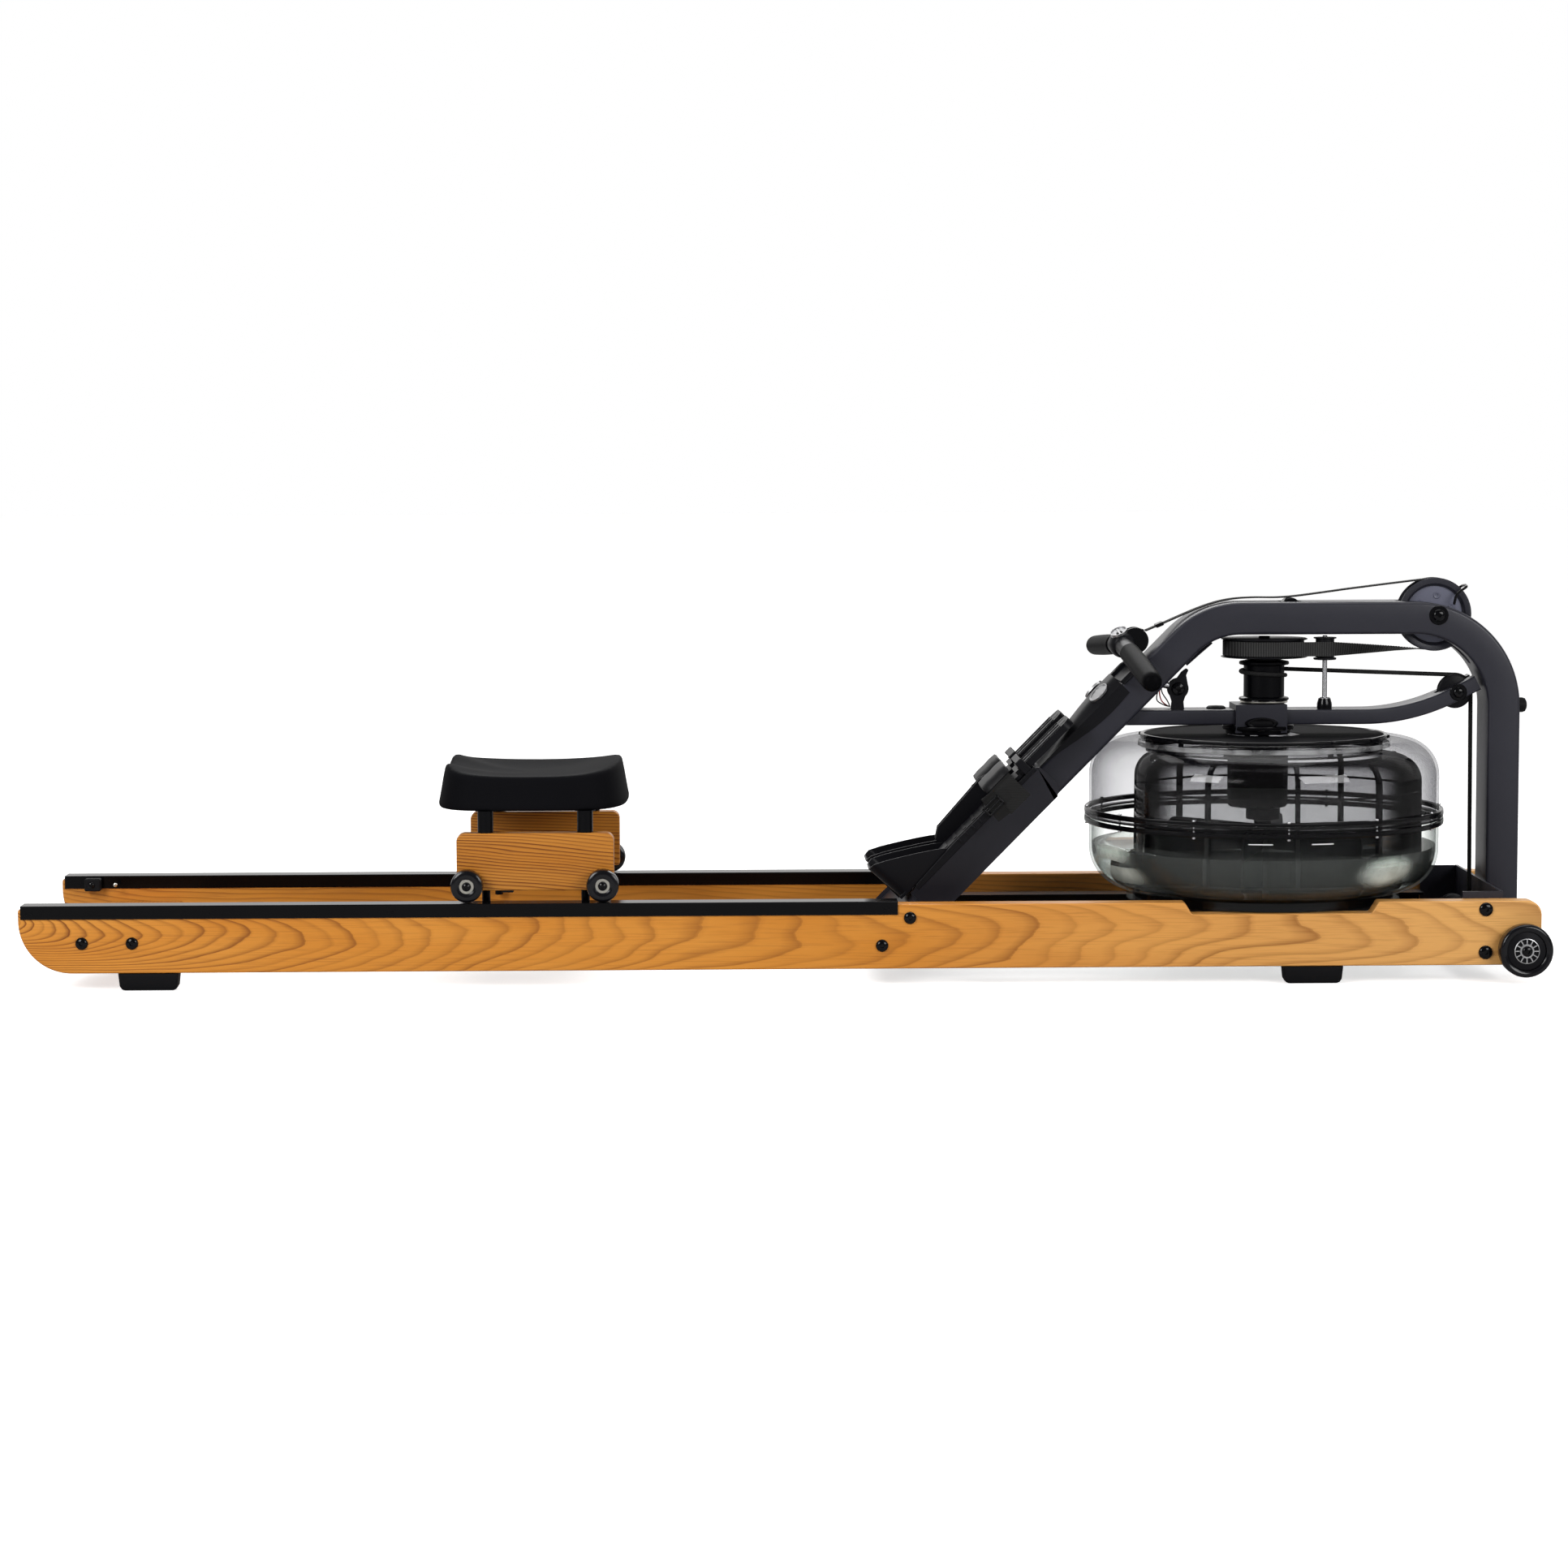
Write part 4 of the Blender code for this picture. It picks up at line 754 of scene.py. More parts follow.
def button_head(at, side, radius=0.0085, height=0.0042, socket=0.0027):
    """A domed screw head with a hexagon socket, facing along Y on its side."""
    dome = arc(0, 0, 1, 0, 66, 7)
    profile = [(0, -0.0004), (radius, -0.0004)]
    profile += [(radius * a, 0.0006 + height * b) for a, b in dome]
    profile += [(socket, 0.0006 + height * 0.93), (socket, 0.0012), (0, 0.0012)]
    bm = turned([(r, side * along) for r, along in profile], "Y", 48, hexed(socket))
    return moved(bm, at)


# Rails --------------------------------------------------------------------------------------------

RAIL_INNER_Y, RAIL_OUTER_Y = 0.1615, 0.1925
RAIL_BOTTOM, RAIL_TOP, RAIL_LENGTH = 0.024, 0.1126, 2.079
HEEL_CURVE, TOE_CURVE, NOSE_CURVE, TAIL_CURVE = 0.072, 0.006, 0.02, 0.004
TANK_X = 1.7225
DIP_TOP, DIP_FLOOR, DIP_Z = 0.133, 0.123, 0.0965
WHEEL_X, WHEEL_Y, WHEEL_Z = 2.0534, 0.21, 0.0465


def rail_outline():
    """The rail from the side: round heel, front toe and nose, the dip that holds the tank, and the tail."""
    outline = arc(HEEL_CURVE, RAIL_BOTTOM + HEEL_CURVE, HEEL_CURVE, 182, 270, 28)
    outline += arc(RAIL_LENGTH - TOE_CURVE, RAIL_BOTTOM + TOE_CURVE, TOE_CURVE, 270, 360, 6)
    outline += arc(RAIL_LENGTH - NOSE_CURVE, RAIL_TOP - NOSE_CURVE, NOSE_CURVE, 0, 90, 12)
    outline += [(TANK_X + DIP_TOP, RAIL_TOP), (TANK_X + DIP_FLOOR, DIP_Z)]
    outline += [(TANK_X - DIP_FLOOR, DIP_Z), (TANK_X - DIP_TOP, RAIL_TOP)]
    outline += arc(TAIL_CURVE, RAIL_TOP - TAIL_CURVE, TAIL_CURVE, 90, 180, 4)
    return outline


BOLTS = (
    (0.0862, 0.0653), (0.1543, 0.0652), (1.2138, 0.0939), (1.1755, 0.056), (2.002, 0.1009), (2.002, 0.0417),
)
BOLT_R, FRONT_BOLT_R, FRONT_BOLTS_FROM = 0.0085, 0.0095, 2.0
FOOT_STEPS = (
    (0, 0.0345, 0.011), (0.0012, 0.0368, 0.0125), (0.006, 0.0395, 0.0145), (0.0232, 0.0412, 0.0153),
)
RIVET_Y, RIVET_Z = 0.1947, 0.1052
RIVETS = (0.016, 0.263, 0.506, 0.693, 0.938, 1.182)

for label, side in SIDES:
    rail = prism(rail_outline(), *span(side, RAIL_INNER_Y, RAIL_OUTER_Y))
    add(
        f"{label}_ash_rail", rail, f"rail_{label}", "base", [f"{label}_rail"], bevel=0.0022,
        segments=3,
    )
    heads = []
    for x, z in BOLTS:
        size = FRONT_BOLT_R if x > FRONT_BOLTS_FROM else BOLT_R
        heads.append(button_head((x, side * (RAIL_OUTER_Y + 0.0002), z), side, size))
    inner = [
        button_head((x, side * (RAIL_INNER_Y - 0.0002), z), -side, 0.0075, 0.003)
        for x, z in BOLTS[:2]
    ]
    add(f"{label}_rail_bolts", heads + inner, "gloss")
    dots = []
    for x in RIVETS:
        for shift in (-0.003, 0.003):
            dot = turned([(0, 0), (0.0013, 0), (0.001, 0.0006), (0, 0.0007)], "Y", 16)
            spot = (x + shift, side * RIVET_Y, RIVET_Z + 0.0008 * (shift > 0))
            dots.append(moved(dot, spot, (0, 0, pi if side < 0 else 0)))
    add(f"{label}_track_rivets", dots, "gloss")
    screw = turned([(0, -0.0016), (0.0035, -0.001), (0.004, 0.0002), (0, 0.0002)], "Z", 24)
    screws = [moved(screw.copy(), (x, side * 0.177, RAIL_BOTTOM)) for x in (0.56, 1.37)]
    screw.free()
    add(f"{label}_rail_screws", screws, "gloss")
    stop_bolt = button_head((0.045, side * 0.1412, 0.1055), -side, 0.005, 0.0025, 0.0016)
    add(f"{label}_stop_bolt", stop_bolt, "gloss")

for label, side in SIDES:
    for end, x in (("rear", 0.1753), ("front", 1.7664)):
        middle = side * (RAIL_INNER_Y + RAIL_OUTER_Y) / 2
        rings = []
        for z, half_x, half_y in FOOT_STEPS:
            rings.append([(x + a, middle + b, z) for a, b in rounded_section(half_x, half_y, 0.004, 5)])
        add(
            f"{label}_{end}_rubber_foot", loft(rings), "rubber", "base", [f"{label}_{end}_foot"],
        )

plug = turned([(0, 0.0), (0.003, 0.0), (0.003, 0.0008), (0.002, 0.0014), (0, 0.0016)], "Y", 20)
add("track_plug", plug, "zinc", at=(0.08, 0.1408, 0.106), turn=(0, 0, pi))

# Transport wheels ---------------------------------------------------------------------------------

for label, side in SIDES:
    body = f"{label}_transport_wheel"
    centre = (WHEEL_X, side * WHEEL_Y, WHEEL_Z)
    tyre = arc(0.0316, -0.0065, 0.005, -100, 0, 8) + arc(0.0316, 0.0065, 0.005, 0, 100, 8)
    tyre += [(0.027, 0.009), (0.027, -0.009)]
    add(f"{label}_wheel_tyre", turned(tyre, "Y", 96), "tyre", body, [body], centre)
    disc = both_ways([(0.0172, 0.0085), (0.0262, 0.007), (0.0272, 0.005)])
    add(f"{label}_wheel_disc", turned(disc, "Y", 72), "plastic", body, at=centre)
    parts = [turned(both_ways([(0.0163, 0.0105), (0.0173, 0.01)]), "Y", 72)]
    parts.append(turned(both_ways([(0.0054, 0.0104), (0.0094, 0.0107), (0.0098, 0.0101)]), "Y", 48))
    for angle in circle(12):
        parts.append(moved(box(0.0095, 0.0166, -0.0096, 0.0096, -0.0007, 0.0007), turn=(0, angle, 0)))
    add(f"{label}_wheel_hub", parts, "badge", body, at=centre)
    dark = turned(both_ways([(0.0099, 0.0072), (0.0162, 0.0072)]), "Y", 48)
    add(f"{label}_wheel_web", dark, "plastic", body, at=centre)

axle = [rod(0.005, -0.2215, 0.2215, 32)]
axle += [button_head((0, side * (WHEEL_Y + 0.0113), 0), side, 0.0073, 0.0034, 0.0028) for side in (-1, 1)]
add("wheel_axle_bolt", axle, "gloss", "base", ["wheel_axle"], (WHEEL_X, 0, WHEEL_Z))

# Main tube ----------------------------------------------------------------------------------------

TUBE_HALF_WIDTH, TUBE_HEIGHT, TUBE_WALL = 0.0425, 0.045, 0.0025
TOP_BAR_Z, UPRIGHT_X, LEG_BEND, TOP_BEND = 0.4925, 2.0543, 0.11, 0.125
MAIN_X, MAIN_Z = 1.9607, 0.4961
GUIDE_X, GUIDE_Z = 1.758, 0.5075
BUNGEE_X, BUNGEE_Z = 1.9918, 0.3872
LOWER_X, LOWER_Z = 1.9935, 0.075
BUNGEE_AT, LOWER_AT = (BUNGEE_X, 0, BUNGEE_Z), (LOWER_X, 0, LOWER_Z)


def bend(centre, radius, headings):
    """Points of a bend, each with its heading in degrees, turning down towards the front."""
    points = []
    for heading in headings:
        angle = radians(heading + 90)
        x, z = centre[0] + radius * cos(angle), centre[1] + radius * sin(angle)
        points.append(((x, z), heading))
    return points


def arch_path():
    """The middle line of the arch, up the leg, along the top bar and down the upright."""
    half = TUBE_HEIGHT / 2
    slope = degrees(SLOPE)
    points = [(slope_point(s, -half), slope) for s in (0.0125, 0.08, 0.16, 0.24, 0.32)]
    corner = slope_point((TOP_BAR_Z - slope_point(0, -half)[1]) / sin(SLOPE), -half)
    centre = (corner[0] + LEG_BEND * tan(SLOPE / 2), TOP_BAR_Z - LEG_BEND)
    points += bend(centre, LEG_BEND, [slope * (1 - i / 16) for i in range(17)])
    points += bend(
        (UPRIGHT_X - TOP_BEND, TOP_BAR_Z - TOP_BEND), TOP_BEND, [-90.0 * i / 28 for i in range(29)],
    )
    return points + [((UPRIGHT_X, 0.2), -90.0), ((UPRIGHT_X, 0.062), -90.0)]


def sweep(points, section):
    rings = []
    for (x, z), heading in points:
        angle = radians(heading + 90)
        up = (cos(angle), sin(angle))
        rings.append([(x + n * up[0], y, z + n * up[1]) for y, n in section])
    return rings


def hollow(points, outer, inner):
    """A tube along points, with these two sections."""
    bm = bmesh.new()
    skins = [
        [[bm.verts.new(p) for p in ring] for ring in sweep(points, section)]
        for section in (outer, inner)
    ]
    for skin in skins:
        for first, second in zip(skin, skin[1:]):
            bridge(bm, first, second)
    for end in (0, -1):
        bridge(bm, skins[0][end], skins[1][end])
    return bm


outer = rounded_section(TUBE_HALF_WIDTH, TUBE_HEIGHT / 2, 0.005)
inner = rounded_section(TUBE_HALF_WIDTH - TUBE_WALL, TUBE_HEIGHT / 2 - TUBE_WALL, 0.003)
arch = add("arch_tube", hollow(arch_path(), outer, inner), "powder", "base", ["main_frame"])


def slot_cutter(x0, x1, half_y, z0, z1):
    outline = arc(x1 - half_y * 0.5, 0, half_y, -90, 90, 8) + arc(x0 + half_y * 0.5, 0, half_y, 90, 270, 8)
    return prism(outline, z0, z1, "Z")


cut(
    arch,
    moved(slot_cutter(-0.048, 0.048, 0.0145, -0.07, 0.05), (MAIN_X, 0, MAIN_Z)),
    moved(slot_cutter(-0.01, 0.01, 0.0145, -0.004, 0.02), (GUIDE_X, 0, GUIDE_Z)),
)

knobs = []
buffer = [(0, 0.0), (0.0105, 0.0), (0.0105, 0.006), (0.0092, 0.0098), (0.0055, 0.0118), (0, 0.0123)]
for side in (-1, 1):
    knob = turned(buffer, "Z", 32)
    knobs.append(moved(knob, (UPRIGHT_X + TUBE_HEIGHT / 2, side * 0.024, 0.369), (0, pi / 2, 0)))
add("upright_bumper", knobs, "rubber")

# Foot end of the leg ------------------------------------------------------------------------------

cheek = TUBE_HALF_WIDTH + 0.0003
side_plate = [(-0.08, -0.046), (0.25, -0.046)]
side_plate += arc(0.244, -0.028, 0.018, -90, 0, 10)
side_plate += [(0.262, -0.01)] + arc(0.25, -0.0057, 0.012, 0, 90, 8)
side_plate += [(-0.08, 0.0063)]
carrier = merged(
    prism(side_plate, -cheek - 0.005, -cheek),
    prism(side_plate, cheek, cheek + 0.005),
    box(0.0125, 0.25, -cheek - 0.003, cheek + 0.003, 0.0003, 0.0063),
    box(-0.079, 0.0095, -0.158, 0.158, -0.014, 0.0062),
    box(-0.084, 0.002, 0.157, 0.1612, -0.02, 0.012),
    box(-0.084, 0.002, -0.1612, -0.157, -0.02, 0.012),
)
on_slope("footrest_bracket", carrier, "powder", "base", ["footrest_carrier"], bevel=0.0012)

# Belly bar ----------------------------------------------------------------------------------------

BELLY_Z, BELLY_BEND_X, BELLY_BEND = 0.3535, 1.86, 0.28


def belly_path():
    """The middle line of the belly bar, level under the pulley and then turning up to the upright."""
    points = [((x, BELLY_Z), 0.0) for x in (1.5331, 1.7, BELLY_BEND_X)]
    for i in range(1, 19):
        turn = radians(1.5 * i)
        x, z = BELLY_BEND_X + BELLY_BEND * sin(turn), BELLY_Z + BELLY_BEND * (1 - cos(turn))
        points.append(((x, z), 1.5 * i))
    (x, z), heading = points[-1]
    tilt = radians(heading)
    points.append(((x + 0.036 * cos(tilt), z + 0.036 * sin(tilt)), heading))
    return points


belly_rings = sweep(belly_path(), rounded_section(0.03, 0.0105, 0.003))
belly_rings[0] = [(x + 0.0006 + (z - BELLY_Z) / tan(SLOPE), y, z) for x, y, z in belly_rings[0]]
belly = add("belly_tube", loft(belly_rings), "powder", "base", ["belly_bar"])
cut(
    belly,
    moved(rod(0.01, 0.3, 0.42, 40, "Z"), (TANK_X, 0, 0)),
    moved(box(-0.028, 0.06, -0.0085, 0.0085, -0.05, 0.06), BUNGEE_AT),
)
cap = turned([(0, 0), (0.0135, 0), (0.0135, 0.0022), (0.011, 0.004), (0, 0.0045)], "Z", 40)
add("belly_cap", moved(cap, (1.655, 0, BELLY_Z + 0.0105)), "rubber")

# Handle rest and badge cover on the leg -----------------------------------------------------------

rest = [box(0.425, 0.465, -0.078, 0.078, 0.0003, 0.0033)]
for side in (-1, 1):
    hook = [(0.425, 0.001), (0.458, 0.001), (0.458, 0.006), (0.446, 0.0085), (0.425, 0.0085)]
    rest.append(prism(hook, *span(side, 0.06, 0.0775)))
on_slope("handle_rest_bracket", rest, "plastic", "base", ["handle_rest"], bevel=0.001)

cover = []
COVER_START, COVER_END = 0.262, 0.4235
for i in range(25):
    t = i / 24
    s = COVER_START + (COVER_END - COVER_START) * t
    swell = sin(min(1.0, t * 1.12) * pi / 2)
    height = 0.0022 + 0.0135 * swell ** 1.5
    drop = 0.001 + 0.021 * swell ** 1.6 * (1 - 0.3 * t * t)
    half = 0.0436
    crown = [(half, -drop), (half + 0.0004, 0.001)]
    crown += [
        (half - 0.0185 * (1 - cos(a)) - 0.004, 0.0015 + (height - 0.0015) * sin(a))
        for a in (0.35, 0.75, 1.15, 1.5708)
    ]
    ring = [(s, y, n) for y, n in crown]
    ring += [(s, y, height + 0.001 * cos(y / 0.0425 * 1.5)) for y in (0.01, 0.0, -0.01)]
    ring += [(s, -y, n) for y, n in reversed(crown)]
    ring += [
        (s, -half + 0.0008, -drop), (s, -half + 0.0008, 0.0004), (s, half - 0.0008, 0.0004),
        (s, half - 0.0008, -drop),
    ]
    cover.append(ring)
on_slope("leg_badge_cover", loft(cover), "plastic", "base", ["leg_cover"], sharp=40)


def badge(half_s, half_y, height):
    """A plain oval plate with a raised rim and one bar across, lying in X and Y."""
    plate = []
    rings = ((1.0, 0.0), (1.0, height), (0.9, height), (0.88, height * 0.55), (0.0001, height * 0.62))
    for share, level in rings:
        wide, deep = half_s * share, half_y * share
        plate.append([(wide * cos(a), deep * sin(a), level) for a in circle(64)])
    bar = box(-half_s * 0.1, half_s * 0.1, -half_y * 0.72, half_y * 0.72, height * 0.3, height * 0.85)
    return merged(loft(plate), bar)


for label, side in SIDES:
    plate = moved(badge(0.016, 0.0095, 0.0034), (0.393, side * 0.0318, 0.0122), (-side * radians(32), 0, 0))
    on_slope(f"{label}_leg_badge", plate, "badge")

# Footrests ----------------------------------------------------------------------------------------


def footrest(label, side):
    wall = [(0.085, 0.01), (0.205, 0.01), (0.205, 0.04), (0.19, 0.0455), (0.1, 0.04), (0.085, 0.03)]
    lip = [(0.024, 0.01), (0.18, 0.01), (0.18, 0.0185), (0.1, 0.0185), (0.024, 0.015)]
    parts = [box(0.022, 0.256, *span(side, 0.0062, 0.1), 0.0068, 0.0135)]
    parts.append(prism(wall, *span(side, 0.0063, 0.0103)))
    parts.append(prism(lip, *span(side, 0.0955, 0.0999)))
    for y in (0.015, 0.0935):
        parts.append(box(0.24, 0.252, *span(side, y, y + 0.004), 0.01, 0.0345))
    parts.append(box(0.241, 0.251, *span(side, 0.016, 0.0965), 0.029, 0.035))
    for i in range(6):
        s = 0.11 + 0.013 * i
        parts.append(box(s, s + 0.003, *span(side, 0.094, 0.1012), 0.0105, 0.0178))
    on_slope(
        f"{label}_footrest_moulding", parts, "plastic", "base", [f"{label}_footrest"],
        bevel=0.001,
    )


def cup_wall(side):
    """The heel cup's wall: a flared band round the heel, high behind it and falling to nothing in front."""
    length, width, bend, inner = 0.081, 0.054, 0.012, 0.027
    outer = inner + width
    outline = [(0.09 - length * k / 8, inner - bend) for k in range(9)]
    outline += arc(0.009, inner, bend, 270, 180, 6)[1:]
    outline += [(0.009 - bend, inner + width * k / 6) for k in range(1, 7)]
    outline += arc(0.009, outer, bend, 180, 90, 6)[1:]
    outline += [(0.009 + length * k / 8, outer + bend) for k in range(1, 9)]
    rings = []
    for s, y in outline:
        rise = 0.0185 + 0.0575 * max(0.0, min(1.0, (0.092 - s) / 0.086)) ** 0.9
        out_y = (y - 0.054) / 0.039 * 0.0016
        out_s = -0.0038 * max(0.0, 1 - max(s, 0.0) / 0.02)
        lean = (rise - 0.0142) / 0.062
        inset_s = 0.0026 if s < 0.004 else (0.0026 * max(0.0, 1 - s / 0.01) if s < 0.01 else 0.0)
        inset_y = 0.0026 * max(-1.0, min(1.0, (0.054 - y) / 0.03))
        rings.append(
            [
                (s, side * y, 0.0143),
                (s + out_s * lean, side * (y + out_y * lean), rise),
                (s + out_s * lean + inset_s, side * (y + out_y * lean + inset_y), rise),
                (s + inset_s, side * (y + inset_y), 0.0143),
            ]
        )
    return loft(rings)


def heel_slider(label, side):
    body = f"{label}_heel_slider"
    plate = [box(-0.004, 0.236, *span(side, 0.022, 0.091), 0.014, 0.0195)]
    plate.append(box(-0.004, 0.06, *span(side, 0.016, 0.093), 0.0142, 0.0186))
    for i in range(7):
        s = 0.07 + 0.018 * i
        plate.append(box(s, s + 0.006, *span(side, 0.03, 0.083), 0.019, 0.0206))
    plate.append(cup_wall(side))
    for y in (0.034, 0.054, 0.074):
        plate.append(box(-0.0062, -0.004, *span(side, y - 0.0012, y + 0.0012), 0.016, 0.07))
    on_slope(f"{label}_heel_cup", plate, "plastic", body, [body], bevel=0.0007)

    half = 0.0325
    outline = [(0.232, -half)] + arc(0.324, -half + 0.014, 0.014, -90, -10, 6)
    outline += arc(0.324, half - 0.014, 0.014, 10, 90, 6) + [(0.232, half)]
    outline = [(s, side * 0.0565 + y) for s, y in outline]
    tongue = on_slope(
        f"{label}_toe_tongue", prism(outline, 0.0146, 0.025, "Z"), "plastic", body,
    )
    holes = []
    for y in (0.04, 0.073):
        for step in range(5):
            s = 0.262 + 0.0155 * step
            hole = arc(s + 0.007, side * y, 0.0024, -90, 90, 6) + arc(s, side * y, 0.0024, 90, 270, 6)
            holes.append(prism(hole, 0.0185, 0.03, "Z"))
    cut(tongue, moved(merged(*holes), (FOOT_X, 0, FOOT_Z), (0, -SLOPE, 0)))
    ribs = []
    for y in (0.03, 0.0565, 0.083):
        ribs.append(box(0.246, 0.322, *span(side, y - 0.0014, y + 0.0014), 0.024, 0.0262))
    ribs.append(box(0.2385, 0.2445, *span(side, 0.025, 0.088), 0.024, 0.0275))
    on_slope(f"{label}_tongue_ribs", ribs, "plastic", body, bevel=0.0006)


STRAP_S, STRAP_OUTER, STRAP_INNER = 0.2065, 0.1035, 0.033
# The padded band across its width: share of the half width, share of the thickness.
PAD_SECTION = (
    (-1.0, 0.0), (-0.94, 0.75), (-0.5, 1.0), (0.0, 0.86), (0.5, 1.0), (0.94, 0.75), (1.0, 0.0), (0.9, -0.2),
    (-0.9, -0.2),
)


def strap_line(steps):
    """The strap over a foot as (across, above) points, from its outer end to its inner one."""
    line = [(STRAP_OUTER, -0.01), (STRAP_OUTER, 0.024)]
    for i in range(1, steps + 1):
        t = pi / 2 * i / steps
        line.append((STRAP_OUTER - 0.016 * (1 - cos(t)), 0.024 + 0.0165 * sin(t)))
    line += [(0.07, 0.0412), (0.05, 0.0416), (STRAP_INNER, 0.0415)]
    for i in range(1, steps + 1):
        t = pi / 2 * i / steps
        line.append((STRAP_INNER - 0.0195 * sin(t), 0.0415 - 0.0125 * (1 - cos(t))))
    line += [(0.0135, 0.0142)]
    return line


def foot_strap(label, side):
    line = strap_line(6)
    path = [Vector((STRAP_S, side * y, n)) for y, n in line]
    band = ribbon(path, [X_WAY] * len(path), 0.019, 0.0016)
    on_slope(
        f"{label}_strap_band", band, "webbing", "base", [f"{label}_foot_strap"], bevel=0.0003,
    )
    pad_path = [Vector((STRAP_S, side * (y + 0.0003), n + 0.0012)) for y, n in line[3:-2]]
    rings = []
    for i, (point, along) in enumerate(zip(pad_path, headings_of(pad_path))):
        up = X_WAY.cross(along) * (1 if side < 0 else -1)
        if up.z < 0 and abs(up.z) > 0.3:
            up.negate()
        edge = min(i, len(pad_path) - 1 - i)
        thick = 0.002 + 0.0016 * min(1.0, edge / 2)
        wide = 0.0215 + 0.0015 * min(1.0, edge / 2)
        ring = []
        for a, b in PAD_SECTION:
            ring.append(point + X_WAY * a * wide + up * b * thick)
        rings.append(ring)
    pad = on_slope(f"{label}_strap_pad", loft(rings), "pad", sharp=50)
    y0, y1 = 0.1048, 0.1082
    edges = (0.164, 0.193, 0.008, 0.011), (0.164, 0.193, 0.021, 0.024)
    edges += (0.164, 0.1668, 0.008, 0.024), (0.1902, 0.193, 0.008, 0.024)
    frame_bars = [box(s0, s1, *span(side, y0, y1), n0, n1) for s0, s1, n0, n1 in edges]
    frame_bars.append(box(0.1655, 0.1915, *span(side, 0.1062, 0.11), 0.0148, 0.0172))
    on_slope(f"{label}_strap_buckle", frame_bars, "gloss", bevel=0.0007)
    tail = [
        (0.1046, -0.006), (0.1052, 0.004), (0.1058, 0.012), (0.1052, 0.02), (0.1046, 0.027),
        (0.1062, 0.033),
    ]
    tail_path = smooth_path([(0.1785 + 0.004 * n / 0.03, side * y, n) for y, n in tail], 4)
    tail_band = ribbon(tail_path, [X_WAY] * len(tail_path), 0.0105, 0.0014)
    on_slope(f"{label}_strap_tail", tail_band, "webbing")
    link = [Vector((s, side * 0.1042, n)) for s, n in ((0.185, 0.018), (0.196, 0.017), (0.2065, 0.014))]
    on_slope(f"{label}_strap_link", ribbon(link, [Z_WAY] * 3, 0.0095, 0.0014), "webbing")


for label, side in SIDES:
    footrest(label, side)
    heel_slider(label, side)
    foot_strap(label, side)

# Water tank ---------------------------------------------------------------------------------------

TANK_R, TANK_WALL = 0.2454, 0.004
FLANGE_R, FLANGE_TOP, FLANGE_BOTTOM = 0.252, 0.2225, 0.208
TANK_TOP, TOP_DISC_R, FLANGE_SCREW_R = 0.3275, 0.1682, 0.2492
TANK_AT, HOUSING_AT = (TANK_X, 0, 0), (TANK_X - 0.008, 0, 0)
SHOULDER_R, SHOULDER_Z = 0.052, 0.272
BOWL_R, BOWL_Z = 0.06, 0.17

upper = [
    (FLANGE_R, FLANGE_TOP - 0.0055), (FLANGE_R, FLANGE_TOP - 0.001), (FLANGE_R - 0.001, FLANGE_TOP),
    (TANK_R + 0.001, FLANGE_TOP), (TANK_R, FLANGE_TOP + 0.001),
]
upper += arc(TANK_R - SHOULDER_R, SHOULDER_Z, SHOULDER_R, 0, 82, 20)
upper += arc(0.182, 0.3283, 0.0055, -120, -150, 2)
upper += [
    (0.174, 0.3262), (0.1725, TANK_TOP), (0.034, TANK_TOP), (0.034, TANK_TOP - TANK_WALL),
    (0.1695, TANK_TOP - TANK_WALL), (0.1725, 0.3225),
]
upper += arc(TANK_R - SHOULDER_R, SHOULDER_Z, SHOULDER_R - TANK_WALL, 82, 0, 16)
upper += [(TANK_R - TANK_WALL, FLANGE_TOP - 0.0055)]
add("tank_dome", turned(upper, "Z", 128), "smoky", "base", ["tank_upper_shell"], TANK_AT)

bowl = arc(TANK_R - BOWL_R, BOWL_Z, BOWL_R, 0, -84, 18)
inner_bowl = arc(TANK_R - BOWL_R, BOWL_Z, BOWL_R - TANK_WALL, -84, 0, 16)
lower = [
    (TANK_R, FLANGE_BOTTOM), (FLANGE_R, FLANGE_BOTTOM), (FLANGE_R, FLANGE_BOTTOM + 0.0052),
    (TANK_R - TANK_WALL, FLANGE_BOTTOM + 0.0052),
]
lower += list(reversed(inner_bowl))
lower += [(0.0, 0.1142), (0.0, 0.1095), (0.178, 0.1095), (0.18, 0.0972), (0.192, 0.0972)]
lower += list(reversed(bowl))
add("tank_bowl", turned(lower, "Z", 128), "clear", "base", ["tank_lower_shell"], TANK_AT)

WATER_TOP, WATER_GAP = 0.1745, 0.0006
water = [(0, 0.1148)] + [(r - WATER_GAP, z + WATER_GAP) for r, z in inner_bowl if z < WATER_TOP]
water += [(TANK_R - TANK_WALL - WATER_GAP, WATER_TOP), (0, WATER_TOP)]
add("tank_water", turned(water, "Z", 128), "water", at=TANK_AT)


def highlight_patch(bearing, half_angle, middle, half, sag):
    """A patch just inside the bowl's inner wall round a bearing and a height, to carry a painted highlight.
    Returns its mesh and its middle.
    """

    def spot(angle, z):
        below = max(0.0, BOWL_Z - z)
        r = TANK_R - BOWL_R + sqrt(0.0556**2 - below**2) - 0.0003
        return Vector((r * cos(angle), r * sin(angle), z))

    centre = spot(radians(bearing), middle)
    rows = []
    for i in range(25):
        t = i / 12 - 1
        angle = radians(bearing + half_angle * t)
        rows.append([spot(angle, middle + sag * t * t + half * (k / 4 - 1)) - centre for k in range(9)])
    return loft(rows, caps=False, closed=False), centre
